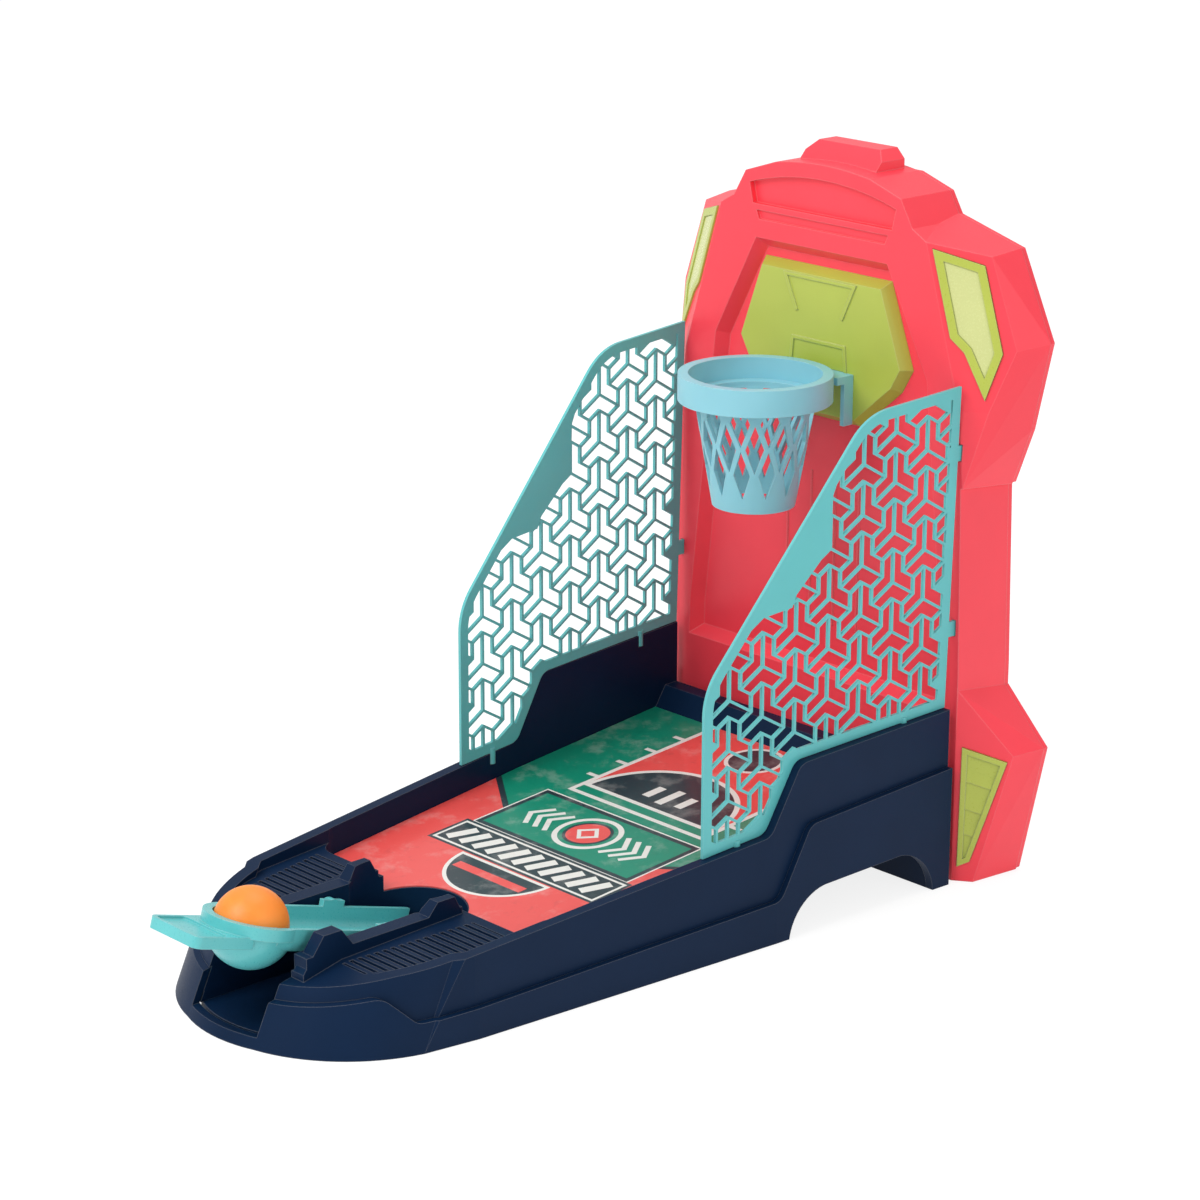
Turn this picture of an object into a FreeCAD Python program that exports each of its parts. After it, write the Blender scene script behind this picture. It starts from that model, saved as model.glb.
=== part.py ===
import FreeCAD, Part
import math
import os

# A tabletop basketball game. X points to the player's right, Y from the player towards the tower
# and Z up. While it is drawn, y is zero at the back edge of the court deck and z is zero on the
# table. At the end every piece is moved along Y by one amount, so that the origin lies on the table
# under the middle of the whole game.

DOC = FreeCAD.newDocument("tabletop_basketball")
SHEET = DOC.addObject("Spreadsheet::Sheet", "Sizes")
PARTS_FOLDER = "parts"

# Driving dimensions in millimetres, angles in degrees, counts plain
DRIVING = [
    # shared
    ("overrun", 5.0), ("fit_gap", 0.1), ("rest_gap", 0.3), ("shell_wall", 2.4),
    # base, seen from above: half widths and their distances in front of the deck's back edge
    ("base_rear_half", 80.8), ("base_bend_half", 76.8), ("base_bend_out", 92.7),
    ("base_side_half", 66.2), ("base_side_out", 231.5), ("base_shoulder_half", 62.5),
    ("base_shoulder_out", 254.0), ("base_cheek_half", 50.5), ("base_cheek_out", 276.8),
    ("base_nose_half", 19.5), ("base_nose_out", 296.2), ("base_tip_out", 299.6),
    # skirt, seen from the side
    ("skirt_wall", 3.4), ("skirt_proud", 2.4), ("lap_rise", 2.0), ("lap_nose", 7.0),
    ("lap_cover", 3.0),
    ("skirt_rear_height", 48.8), ("skirt_step_height", 43.8), ("skirt_step_out", 75.5),
    ("skirt_low_height", 16.6), ("skirt_low_out", 90.5), ("skirt_front_height", 10.9),
    ("skirt_front_out", 255.0), ("skirt_nose_height", 20.8), ("skirt_nose_out", 264.5),
    ("skirt_tip_height", 12.4), ("skirt_round", 4.5), ("nose_lean", 0.47),
    ("belly_height", 17.6), ("belly_out", 68.0), ("belly_front_out", 86.0),
    ("arch_height", 19.0), ("arch_out", 27.0), ("foot_out", 9.0),
    ("cross_wall", 2.0), ("sill_height", 4.0), ("tab_length", 14.0), ("tab_width", 12.0),
    ("tab_thick", 2.5), ("tab_low", 3.0),
    # deck, seen from the side
    ("rim_rear_height", 72.2), ("rim_step_height", 68.4), ("rim_step_out", 79.0),
    ("rim_low_height", 42.6), ("rim_low_out", 94.0), ("rim_mid_height", 40.0), ("rim_mid_out", 126.0),
    ("rim_front_height", 31.2), ("rim_front_out", 232.0), ("rim_nose_height", 27.2),
    ("rim_nose_out", 258.0), ("rim_tip_height", 16.8), ("side_wall", 4.6),
    ("court_back_height", 38.0), ("court_back_out", 13.0), ("court_front_height", 22.6),
    ("court_front_out", 203.0), ("court_corner", 9.0), ("court_floor", 2.2),
    ("ledge_height", 46.0), ("ledge_out", 7.0), ("link_half", 62.0), ("link_low", 21.0),
    ("link_high", 43.0), ("step_round", 6.0),
    # launcher bay
    ("bay_back_height", 28.4), ("bay_front_height", 25.2), ("bay_lip", 5.0),
    ("slot_half", 19.0), ("slot_wall", 2.4),
    ("pit_radius", 22.5), ("pit_out", 209.5), ("rail_half", 26.0), ("rail_height", 31.0),
    ("rail_front_out", 277.0), ("rail_back_out", 205.0), ("ear_inner", 20.2), ("ear_outer", 26.0),
    ("front_ear_height", 37.6), ("back_ear_height", 35.8), ("front_ear_out", 265.0),
    ("back_ear_out", 212.5), ("ear_top", 8.0), ("ear_slope", 9.5),
    ("pad_depth", 1.2), ("pad_front_out", 263.0), ("pad_back_out", 207.5), ("pad_inner_back", 35.0),
    ("pad_inner_front", 28.5), ("pad_outer_back", 56.0), ("pad_bend_out", 248.0),
    ("pad_outer_bend", 49.5), ("pad_outer_front", 41.0), ("pad_ribs", 16), ("pad_rib_width", 1.8),
    ("bearing_half", 7.0), ("bearing_drop", 7.0),
    # ball, court card, ball tray and stop pad
    ("ball_radius", 13.9), ("card_thick", 0.5), ("card_margin", 0.4), ("tray_low", 1.0),
    ("tray_thick", 3.0), ("tray_half", 36.0), ("tray_front_out", 288.6), ("tray_taper_out", 262.0),
    ("tray_tip_out", 293.4), ("tray_nose_half", 21.4), ("tray_back_out", 182.0),
    ("pad_half", 9.0), ("pad_length", 7.0),
    # launch lever, drawn level about its pivot
    ("pivot_out", 232.7), ("pivot_height", 25.0), ("lever_tilt", 16.5), ("lever_wall", 1.7),
    ("trough_half", 16.5), ("trough_depth", 9.2), ("trough_rise", 1.2), ("trough_tail", 38.0),
    ("trough_round", 5.0),
    ("cup_reach", 50.4), ("cup_drop", 1.7), ("cup_gap", 0.4), ("cup_wall", 2.0),
    ("rim_radius", 17.9), ("rim_drop", 4.6), ("tab_reach", 85.0), ("thumb_half", 14.2),
    ("thumb_top_drop", 2.8), ("thumb_thick", 4.3), ("thumb_edge", 1.7), ("thumb_hollow", 0.9),
    ("thumb_corner", 3.0), ("boss_radius", 4.0), ("boss_face", 18.4), ("trunnion_radius", 2.4),
    ("trunnion_end", 24.4), ("trunnion_gap", 0.06), ("bump_rise", 3.6), ("bump_half", 5.0),
    ("bump_face", 17.4), ("spring_out", 220.0), ("spring_radius", 2.6), ("spring_wire", 0.6),
    ("spring_turns", 6), ("post_radius", 1.6), ("post_height", 1.6),
    # tower
    ("tower_front", 4.0), ("tower_depth", 28.0), ("tower_half", 78.5), ("tower_height", 274.5),
    ("tower_wall", 2.2), ("recess_depth", 5.0), ("recess_slope", 4.0), ("window_depth", 2.6),
    ("step_depth", 1.2), ("crest_half", 20.3), ("crest_height", 280.8), ("crest_front", 13.0),
    ("crest_depth", 16.0), ("crest_chamfer", 4.0), ("crest_drop", 7.1), ("upper_reach", 95.0),
    ("lower_reach", 100.0),
    ("cover_thick", 2.5), ("cover_margin", 0.4), ("insert_depth", 1.5), ("insert_proud", 0.8),
    ("insert_rim", 3.2), ("insert_narrow_rim", 2.1),
    ("insert_hollow", 0.9), ("insert_rib", 0.6), ("boss_post", 3.6), ("ridge_width", 0.8),
    ("ridge_height", 0.5), ("ridge_length", 62.0), ("ridge_step", 13.0), ("ridge_low", 88.0),
    ("ridge_count", 4),
    # backboard and hoop
    ("board_half", 46.4), ("board_low", 172.8), ("board_high", 233.4), ("board_thick", 4.7),
    ("board_slope", 3.0), ("board_ridge", 0.6), ("board_line", 1.4),
    ("hoop_out", 30.8), ("hoop_top", 197.6), ("hoop_radius", 30.3), ("hoop_inner", 26.2),
    ("hoop_band", 10.6), ("basket_top_radius", 23.8), ("basket_low_radius", 16.4),
    ("basket_drop", 42.0), ("basket_wall", 1.8), ("basket_band", 6.0), ("basket_cells", 12),
    ("cell_width", 7.6), ("cell_height", 20.0), ("arm_half", 19.0), ("arm_thick", 3.0),
    ("arm_drop", 3.2), ("arm_leg", 20.0), ("arm_leg_thick", 2.0), ("arm_leg_deep", 5.0), ("arm_tongue", 2.6),
    # side nets
    ("net_thick", 1.3), ("net_rear_half", 75.0), ("net_front_half", 68.4), ("net_length", 124.8),
    ("net_top_height", 200.2), ("net_corner_out", 45.5), ("net_corner_drop", 3.2),
    ("net_corner_round", 26.0), ("net_front_height", 105.0), ("net_border", 4.2), ("net_bar", 1.05),
    ("lattice_pitch", 19.6), ("lattice_column", 16.5), ("lattice_first", 13.4),
    ("lattice_lift", -8.1), ("net_rear_lean", 3.5), ("net_peg_radius", 1.5),
    ("net_peg_length", 4.6), ("net_front_peg", 107.5), ("net_rear_peg", 22.0),
    ("net_hook_length", 7.6), ("net_hook_height", 6.0), ("net_hook_low", 104.0),
    ("net_hook_drop", 26.2), ("net_rest", 0.3),
    # screws
    ("screw_radius", 1.3), ("screw_length", 9.0), ("head_radius", 2.7), ("head_height", 1.7),
    ("screw_post", 3.4), ("link_screw_length", 20.0), ("board_screw_length", 5.5),
]

for row, (alias, value) in enumerate(DRIVING, start=1):
    SHEET.set("A%d" % row, alias)
    SHEET.set("B%d" % row, repr(value))
    SHEET.setAlias("B%d" % row, alias)
DOC.recompute()

# Shapes of outlines as shares of the sizes that they follow
HALF_SHARE = 0.5
HEX_SHARE = math.sqrt(0.75)
LATTICE_ARMS = 3
BASKET_ROWS = 3
STEPS_PER_TURN = 8
NUDGE = 1e-6
CREST_SLOPE_SHARE = 0.4
LINK_SCREW_SHARE = 0.75
CELL_STEP_SHARE = 0.04
# how deep a screw tab reaches into the skirt's wall, measured from outside
TAB_REACH_SHARE = 0.75
COVER_SCREW_SHARES = [(0.80, 0.05), (0.84, 0.48), (0.60, 0.86)]
# bulge of the skirt's two lower curves between their ends, along and up
ARCH_BULGE_SHARES = (0.27, 0.62)
BELLY_BULGE_SHARES = (0.68, 0.66)
TRUNK_SHARES = [
    (1.0, 0.0), (1.0, 0.31), (0.975, 0.583), (0.94, 0.692), (0.847, 0.785),
    (0.70, 0.92), (0.611, 0.934), (0.529, 0.973), (0.32, 0.9925),
]
# wing corners: half width by reach, depth by tower depth, height by tower height
UPPER_WING_SHARES = [
    (0.579, 0.0, 0.92), (0.70, 0.0, 0.785), (0.785, 0.0, 0.692), (0.815, 0.0, 0.583),
    (0.81, 0.464, 0.905), (0.945, 0.464, 0.779), (0.884, 0.216, 0.6925),
    (0.826, 1.0, 0.911), (1.0, 1.0, 0.785), (0.916, 1.0, 0.656), (0.825, 1.0, 0.573),
    (0.42, 0.0, 0.93), (0.46, 1.0, 0.945), (0.42, 0.0, 0.583), (0.42, 1.0, 0.573),
]
LOWER_WING_SHARES = [
    (0.785, 0.0, 0.215), (0.785, 0.0, 0.0), (0.855, 0.16, 0.0), (0.97, 0.464, 0.195),
    (0.78, 0.0, 0.29), (0.785, 1.0, 0.275), (1.0, 1.0, 0.197), (0.88, 1.0, 0.0),
    (0.45, 0.0, 0.29), (0.45, 1.0, 0.275), (0.45, 0.0, 0.0), (0.45, 1.0, 0.0),
]
WING_HOLLOW_SHARE = 0.78
# which corners of a wing also bound the cover at the back
COVER_UPPER_SHARES = [UPPER_WING_SHARES[index] for index in (7, 8, 9, 10, 13, 12)]
COVER_LOWER_SHARES = [LOWER_WING_SHARES[index] for index in (5, 6, 7, 11, 9)]
# which wing corners span the flat face that carries an insert
UPPER_FACE = (0, 1, 4)
LOWER_FACE = (0, 1, 3)
# insert corners on the wing face, across and up, as shares of the face's own two edges
UPPER_INSERT_SHARES = [
    (0.12, -0.05), (0.93, -0.10), (1.47, -0.90), (1.36, -1.38), (0.91, -0.97), (0.66, -0.86),
]
LOWER_INSERT_SHARES = [(0.14, -0.04), (0.93, -0.05), (0.80, -0.80), (0.62, -0.86)]
# upper and lower edge of each rib of a lower insert, as shares of the insert's inner edge
INSERT_RIB_SHARES = [(0.16, 0.27), (0.38, 0.50), (0.60, 0.71)]
PANEL_SHARES = [(0.905, 0.245), (0.90, 0.30), (0.733, 0.725), (0.45, 0.878)]
WINDOW_SHARES = [(0.475, 0.927), (0.50, 0.957)]
STEP_SHARES = [(0.43, 0.905), (0.45, 0.918)]
BOARD_SHARES = [(0.44, 0.0), (0.88, 0.29), (1.0, 0.45), (0.735, 1.0)]
BOARD_SQUARE_SHARES = [(0.36, 0.06), (0.30, 0.52)]
BOARD_CROWN_SHARES = [(0.26, 0.70), (0.40, 0.93)]
# solid web on the net's slanted edge: along by net length, up by net height
WEB_SHARES = [
    (0.46, 0.90), (0.50, 0.845), (0.505, 0.747), (0.64, 0.67),
    (0.657, 0.647), (0.81, 0.639), (0.90, 0.66), (0.75, 0.90),
]
# one cell of the lattice, in pitches from the branching point
CELL_SHARES = [(0.0, 0.0), (0.0, 0.667), (0.289, 0.5), (0.289, 0.167), (0.577, 0.0), (0.577, -0.333)]


def size(alias):
    """The plain value of one driving dimension."""
    return float(SHEET.get(alias))


def vec(across, along, up):
    """A point from its X, Y and Z."""
    return FreeCAD.Vector(across, along, up)


def inset_plan(inset, rear=0.0):
    """The base's outline from above, drawn in by an inset, right side from its rear edge to the nose."""
    diagonal = inset * math.sqrt(0.5)
    return [
        (base_half(-rear, inset), rear),
        (size("base_bend_half") - inset, -size("base_bend_out")),
        (size("base_side_half") - inset, -size("base_side_out")),
        (size("base_shoulder_half") - inset, -size("base_shoulder_out") + inset / 2),
        ("via", size("base_cheek_half") - diagonal, -size("base_cheek_out") + diagonal),
        (size("base_nose_half"), -size("base_nose_out") + inset),
    ]


def mirrored(side, middle=None):
    """A closed outline from its right side, with an arc's middle point or nothing between the halves."""
    left = []
    for item in reversed(side):
        if item[0] == "via":
            left.append(("via", -item[1], item[2]))
        else:
            left.append((-item[0], item[1]))
    centre = [middle] if middle else []
    return side + centre + left


def outline_curves(items):
    """Line and arc curves round a closed outline. An item that starts with via is an arc's middle."""
    curves = []
    count = len(items)
    for index, item in enumerate(items):
        if item[0] == "via":
            continue
        following = items[(index + 1) % count]
        start = vec(item[0], item[1], 0)
        if following[0] == "via":
            finish = items[(index + 2) % count]
            middle = vec(following[1], following[2], 0)
            curves.append(Part.Arc(start, middle, vec(finish[0], finish[1], 0)))
        else:
            curves.append(Part.LineSegment(start, vec(following[0], following[1], 0)))
    return curves


def corner_arc(previous, corner, following, radius):
    """A corner between two straight sides, rounded by a tangent arc."""
    here = vec(*corner, 0)
    before = vec(*previous, 0) - here
    after = vec(*following, 0) - here
    half_angle = before.getAngle(after) / 2
    reach = radius / math.tan(half_angle)
    before.normalize()
    after.normalize()
    bisector = before + after
    bisector.normalize()
    entry = here + before * reach
    leave = here + after * reach
    middle = here + bisector * (radius / math.sin(half_angle) - radius)
    return [(entry.x, entry.y), ("via", middle.x, middle.y), (leave.x, leave.y)]


def rounded(points, radius):
    """A closed outline whose corners are rounded by tangent arcs."""
    result = []
    count = len(points)
    for index, corner in enumerate(points):
        result += corner_arc(points[index - 1], corner, points[(index + 1) % count], radius)
    return result


def fill_sketch(sketch, loops):
    """Draw closed loops of points into a sketch."""
    for loop in loops:
        sketch.addGeometry(outline_curves(loop), False)


PLANE_TURNS = {
    "XY": FreeCAD.Rotation(),
    "XZ": FreeCAD.Rotation(vec(1, 0, 0), 90),
    "YZ": FreeCAD.Rotation(vec(1, 1, 1), 120),
}
PLANE_SHIFT = {"XY": "Placement.Base.z", "XZ": "Placement.Base.y", "YZ": "Placement.Base.x"}
PLANE_SIGN = {"XY": 1, "XZ": -1, "YZ": 1}


def expression(formula):
    """A formula in plain size names, written for the sheet."""
    words = formula.replace("(", " ( ").replace(")", " ) ").split()
    aliases = {alias for alias, value in DRIVING}
    return " ".join("Sizes." + word if word in aliases else word for word in words)


def prism(name, plane, loops, low, high):
    """A solid drawn on a main plane between two formulas of sizes along the plane's normal axis."""
    sketch = DOC.addObject("Sketcher::SketchObject", name + "_sketch")
    fill_sketch(sketch, loops)
    sketch.Placement = FreeCAD.Placement(vec(0, 0, 0), PLANE_TURNS[plane])
    start = high if PLANE_SIGN[plane] < 0 else low
    sketch.setExpression(PLANE_SHIFT[plane], expression(start))
    solid = DOC.addObject("Part::Extrusion", name)
    solid.Base = sketch
    solid.DirMode = "Normal"
    solid.Solid = True
    solid.setExpression("LengthFwd", expression("( %s ) - ( %s )" % (high, low)))
    return solid


def cylinder(name, radius, length, place, axis=None):
    """A round bar from a point along an axis, its radius and length bound to formulas of sizes."""
    bar = DOC.addObject("Part::Cylinder", name)
    bar.setExpression("Radius", expression(radius))
    bar.setExpression("Height", expression(length))
    turn = FreeCAD.Rotation(vec(0, 0, 1), axis) if axis else FreeCAD.Rotation()
    bar.Placement = FreeCAD.Placement(place, turn)
    return bar


def joined(name, pieces):
    """The union of several solids."""
    if len(pieces) == 2:
        union = DOC.addObject("Part::Fuse", name)
        union.Base, union.Tool = pieces
        return union
    union = DOC.addObject("Part::MultiFuse", name)
    union.Shapes = pieces
    return union


def overlap(name, pieces):
    """What several solids share."""
    shared = DOC.addObject("Part::MultiCommon", name)
    shared.Shapes = pieces
    return shared


def carved(name, block, tools):
    """A block with several tools cut away."""
    cut = DOC.addObject("Part::Cut", name)
    cut.Base = block
    cut.Tool = tools[0] if len(tools) == 1 else joined(name + "_tools", tools)
    return cut


def fixed_shape(name, shape):
    """A piece whose form is worked out point by point."""
    feature = DOC.addObject("Part::Feature", name)
    feature.Shape = shape
    return feature


def wrapped(places):
    """The numbers of the flat points that an outline wrapped round all of them passes, in order."""
    order = sorted(range(len(places)), key=lambda index: places[index])
    chains = []
    for run in (order, order[::-1]):
        chain = []
        for index in run:
            while len(chain) > 1:
                first, second = places[chain[-2]], places[chain[-1]]
                new = places[index]
                turn = ((second[0] - first[0]) * (new[1] - first[1])
                        - (second[1] - first[1]) * (new[0] - first[0]))
                if turn > NUDGE:
                    break
                chain.pop()
            chain.append(index)
        chains.append(chain[:-1])
    return chains[0] + chains[1]


def convex_solid(points):
    """The solid whose flat faces wrap a set of points."""
    faces = []
    seen = set()
    count = len(points)
    for first in range(count):
        for second in range(first + 1, count):
            for third in range(second + 1, count):
                normal = (points[second] - points[first]).cross(points[third] - points[first])
                if normal.Length < NUDGE:
                    continue
                normal.normalize()
                heights = [normal.dot(point - points[first]) for point in points]
                if max(heights) > NUDGE and min(heights) < -NUDGE:
                    continue
                members = tuple(index for index, height in enumerate(heights) if abs(height) <= NUDGE)
                if members in seen:
                    continue
                seen.add(members)
                side = points[second] - points[first]
                side.normalize()
                other = normal.cross(side)
                offsets = [points[index] - points[first] for index in members]
                flat = [(offset.dot(side), offset.dot(other)) for offset in offsets]
                around = [members[index] for index in wrapped(flat)]
                corners = [points[index] for index in around]
                faces.append(Part.Face(Part.makePolygon(corners + corners[:1])))
    shell = Part.makeShell(faces)
    solid = Part.makeSolid(shell)
    if solid.Volume < 0:
        solid.reverse()
    return solid


def court_height(out):
    """Height of the court's printed surface at a distance in front of the deck's back edge."""
    run = size("court_front_out") - size("court_back_out")
    fall = (size("court_back_height") - size("court_front_height")) / run
    return size("court_back_height") - fall * (out - size("court_back_out"))


def base_half(out, inset):
    """Half width of the base's side at a distance in front of the deck's back edge."""
    bend = size("base_bend_out")
    if out <= bend:
        slope = (size("base_rear_half") - size("base_bend_half")) / bend
        return size("base_rear_half") - slope * out - inset
    slope = (size("base_bend_half") - size("base_side_half")) / (size("base_side_out") - bend)
    return size("base_bend_half") - slope * (out - bend) - inset


def rim_height(out):
    """Height of the side walls' top edge at a distance in front of the deck's back edge."""
    stations = [
        (0.0, size("rim_rear_height")), (size("rim_step_out"), size("rim_step_height")),
        (size("rim_low_out"), size("rim_low_height")), (size("rim_mid_out"), size("rim_mid_height")),
        (size("rim_front_out"), size("rim_front_height")),
        (size("rim_nose_out"), size("rim_nose_height")),
    ]
    for (near, upper), (far, lower) in zip(stations, stations[1:]):
        if out <= far:
            return upper + (lower - upper) * (out - near) / (far - near)
    return size("rim_nose_height")


def skirt_top():
    """The parting line between skirt and deck, from the back to the nose, as side view points."""
    rear = (0.0, size("skirt_rear_height"))
    step_corner = (-size("skirt_step_out"), size("skirt_step_height"))
    low_corner = (-size("skirt_low_out"), size("skirt_low_height"))
    front = (-size("skirt_front_out"), size("skirt_front_height"))
    nose = (-size("skirt_nose_out"), size("skirt_nose_height"))
    tip = (-size("base_tip_out") - size("overrun"), size("skirt_tip_height"))
    return [rear] + corner_arc(rear, step_corner, low_corner, size("step_round")) + corner_arc(
        step_corner, low_corner, front, size("step_round")) + corner_arc(
        low_corner, front, nose, size("skirt_round")) + corner_arc(
        front, nose, tip, size("skirt_round")) + [tip]


def tip_via(inset):
    """The middle point of the nose's front arc."""
    return ("via", 0.0, -size("base_tip_out") + inset)


DECK_INSET = size("skirt_proud")
SIDE = size("side_wall") + DECK_INSET
OVER = size("overrun")
TALL = "rim_rear_height + overrun"
PIVOT = vec(0, -size("pivot_out"), size("pivot_height"))


# Screws: one drawn along +Z with its head below, then set where it is needed
def screw_shape(length):
    """A round-headed screw along +Z, the underside of its head at zero."""
    shank = Part.makeCylinder(size("screw_radius"), size(length))
    head = Part.makeCylinder(size("head_radius"), size("head_height"), vec(0, 0, -size("head_height")))
    cross_width = size("screw_radius") / 2
    cross_length = size("head_radius")
    cross_depth = size("head_height") / 2
    for turn in (0, 90):
        slot = Part.makeBox(cross_length, cross_width, cross_depth)
        slot.translate(vec(-cross_length / 2, -cross_width / 2, -size("head_height")))
        slot.rotate(vec(0, 0, 0), vec(0, 0, 1), turn)
        head = head.cut(slot)
    return shank.fuse(head).removeSplitter()


def screw_set(name, places, axis, length):
    """Several alike screws as one node, each from the underside of its head along an axis."""
    turn = FreeCAD.Rotation(vec(0, 0, 1), axis)
    screws = []
    for place in places:
        screw = screw_shape(length)
        screw.Placement = FreeCAD.Placement(place, turn)
        screws.append(screw)
    return fixed_shape(name, Part.makeCompound(screws))


def screw_bores(name, places, axis, radius, length):
    """Round bores along an axis from the places of a set of screws."""
    return [cylinder("%s_%d" % (name, index), radius, length, place, axis)
            for index, place in enumerate(places)]


UP = vec(0, 0, 1)
PLAYERWARD = vec(0, -1, 0)
SIDEWAYS = vec(1, 0, 0)
WIDE = ("0 - base_rear_half - overrun", "base_rear_half + overrun")
OPEN_TOP = size("rim_rear_height") + 2 * OVER
TRAY_TOP = size("tray_low") + size("tray_thick")
TAB_TOP = size("tab_low") + size("tab_thick")
KEEPER_TOP = size("pivot_height") - size("bearing_drop")
INNER_FACE = size("tower_front") + size("recess_depth") + size("tower_wall")
TOWER_BACK = size("tower_front") + size("tower_depth")


def block(name, across, along, up):
    """A box between pairs of sizes, or formulas of sizes, along X, Y and Z."""
    box = DOC.addObject("Part::Box", name)
    sides = (("Length", "x", across), ("Width", "y", along), ("Height", "z", up))
    for side, axis, (low, high) in sides:
        box.setExpression(side, expression("( %s ) - ( %s )" % (high, low)))
        box.setExpression("Placement.Base." + axis, expression("%s + 0" % low))
    return box


def ball_shape(name, radius, place):
    """A full ball about a point."""
    ball = DOC.addObject("Part::Sphere", name)
    ball.setExpression("Radius", expression(radius))
    ball.Placement = FreeCAD.Placement(place, FreeCAD.Rotation())
    return ball


def mirror_of(name, source):
    """The same piece on the other side of the middle plane."""
    twin = DOC.addObject("Part::Mirroring", name)
    twin.Source = source
    twin.Base = vec(0, 0, 0)
    twin.Normal = SIDEWAYS
    return twin


def moved_in(points, distance):
    """A closed outline with every side moved in by a distance, or out where it is negative."""
    count = len(points)
    area = sum(points[index - 1][0] * points[index][1] - points[index][0] * points[index - 1][1]
               for index in range(count))
    turn = 1 if area > 0 else -1
    result = []
    for index, corner in enumerate(points):
        normals = []
        for start, finish in ((points[index - 1], corner), (corner, points[(index + 1) % count])):
            run = (finish[0] - start[0], finish[1] - start[1])
            length = math.hypot(*run)
            normals.append((-run[1] * turn / length, run[0] * turn / length))
        (first_x, first_y), (second_x, second_y) = normals
        reach = distance / (1 + first_x * second_x + first_y * second_y)
        result.append((corner[0] + (first_x + second_x) * reach,
                       corner[1] + (first_y + second_y) * reach))
    return result


def strip(points, width):
    """The outline of a line of an even width through open points."""
    sides = []
    for turn in (1, -1):
        side = []
        for index, corner in enumerate(points):
            before = points[max(index - 1, 0)]
            after = points[min(index + 1, len(points) - 1)]
            first = before if index > 0 else corner
            last = after if index < len(points) - 1 else corner
            run_in = (corner[0] - first[0], corner[1] - first[1])
            run_out = (last[0] - corner[0], last[1] - corner[1])
            runs = [run for run in (run_in, run_out) if math.hypot(*run) > 0]
            normals = [(-run[1] / math.hypot(*run), run[0] / math.hypot(*run)) for run in runs]
            sum_x = sum(normal[0] for normal in normals)
            sum_y = sum(normal[1] for normal in normals)
            square = sum_x * sum_x + sum_y * sum_y
            reach = turn * width / 2 * len(normals) / square
            side.append((corner[0] + sum_x * reach, corner[1] + sum_y * reach))
        sides.append(side)
    return sides[0] + sides[1][::-1]


def flat_face(points):
    """A flat face between straight sides, in the plane of X and Y."""
    corners = [vec(across, up, 0) for across, up in points]
    return Part.Face(Part.makePolygon(corners + corners[:1]))


def slab(points, low, high):
    """A plate with straight sides between two heights above the plane of X and Y."""
    plate = flat_face(points)
    plate.translate(vec(0, 0, low))
    return plate.extrude(vec(0, 0, high - low))


def bars(name, plane, places, low_side, high_side, width, low, high):
    """Several even bars drawn as rectangles side by side."""
    loops = []
    for place in places:
        loops.append([(place - width / 2, low_side), (place + width / 2, low_side),
                      (place + width / 2, high_side), (place - width / 2, high_side)])
    return prism(name, plane, loops, low, high)


def court_floor_height(out):
    """Height of the moulded floor that the court card lies on."""
    return court_height(out) - size("card_thick")


def bay_height(out):
    """Height of the launcher bay's floor at a distance in front of the deck's back edge."""
    run = size("base_tip_out") - size("court_front_out")
    fall = (size("bay_back_height") - size("bay_front_height")) / run
    return size("bay_back_height") - fall * (out - size("court_front_out"))


def rim_line(lift):
    """The side walls' top edge from the back to its middle station, lifted by a little."""
    back = (0.0, size("rim_rear_height") + lift)
    step = (-size("rim_step_out"), size("rim_step_height") + lift)
    low = (-size("rim_low_out"), size("rim_low_height") + lift)
    middle = (-size("rim_mid_out"), size("rim_mid_height") + lift)
    return ([back] + corner_arc(back, step, low, size("step_round"))
            + corner_arc(step, low, middle, size("step_round")) + [middle])


# Screw places
BASE_SCREWS = []
for screw_out in (size("base_bend_out") + size("tab_length"), size("base_side_out") + size("tab_width")):
    screw_half = base_half(screw_out, 2 * size("skirt_wall") + size("screw_post"))
    for hand in (-1, 1):
        BASE_SCREWS.append(vec(hand * screw_half, -screw_out, size("tab_low")))
TRAY_SCREWS = []
for screw_out in (size("tray_back_out") + 2 * size("head_radius"),
                  size("tray_front_out") - size("ear_outer")):
    for hand in (-1, 1):
        TRAY_SCREWS.append(vec(hand * (size("tray_half") - 2 * size("head_radius")), -screw_out,
                               size("tray_low") + size("head_height")))
KEEPER_HALF = size("rail_half") + size("head_radius")
KEEPER_LOW = KEEPER_TOP - size("shell_wall")
KEEPER_SCREWS = [vec(hand * KEEPER_HALF, PIVOT.y, KEEPER_LOW) for hand in (-1, 1)]
LINK_HEIGHT = (size("link_low") + size("link_high")) / 2
LINK_SCREWS = [vec(hand * size("link_half") * LINK_SCREW_SHARE, INNER_FACE, LINK_HEIGHT)
               for hand in (-1, 1)]
COVER_SINK = TOWER_BACK + size("cover_thick") - size("head_height")
COVER_SCREWS = [vec(hand * across * size("tower_half"), COVER_SINK, up * size("tower_height"))
                for across, up in COVER_SCREW_SHARES for hand in (-1, 1)]
BOARD_SCREW_HEIGHT = (size("board_low") + size("board_high")) / 2
BOARD_SCREWS = [vec(hand * size("board_half") / 2, INNER_FACE, BOARD_SCREW_HEIGHT) for hand in (-1, 1)]


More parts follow.
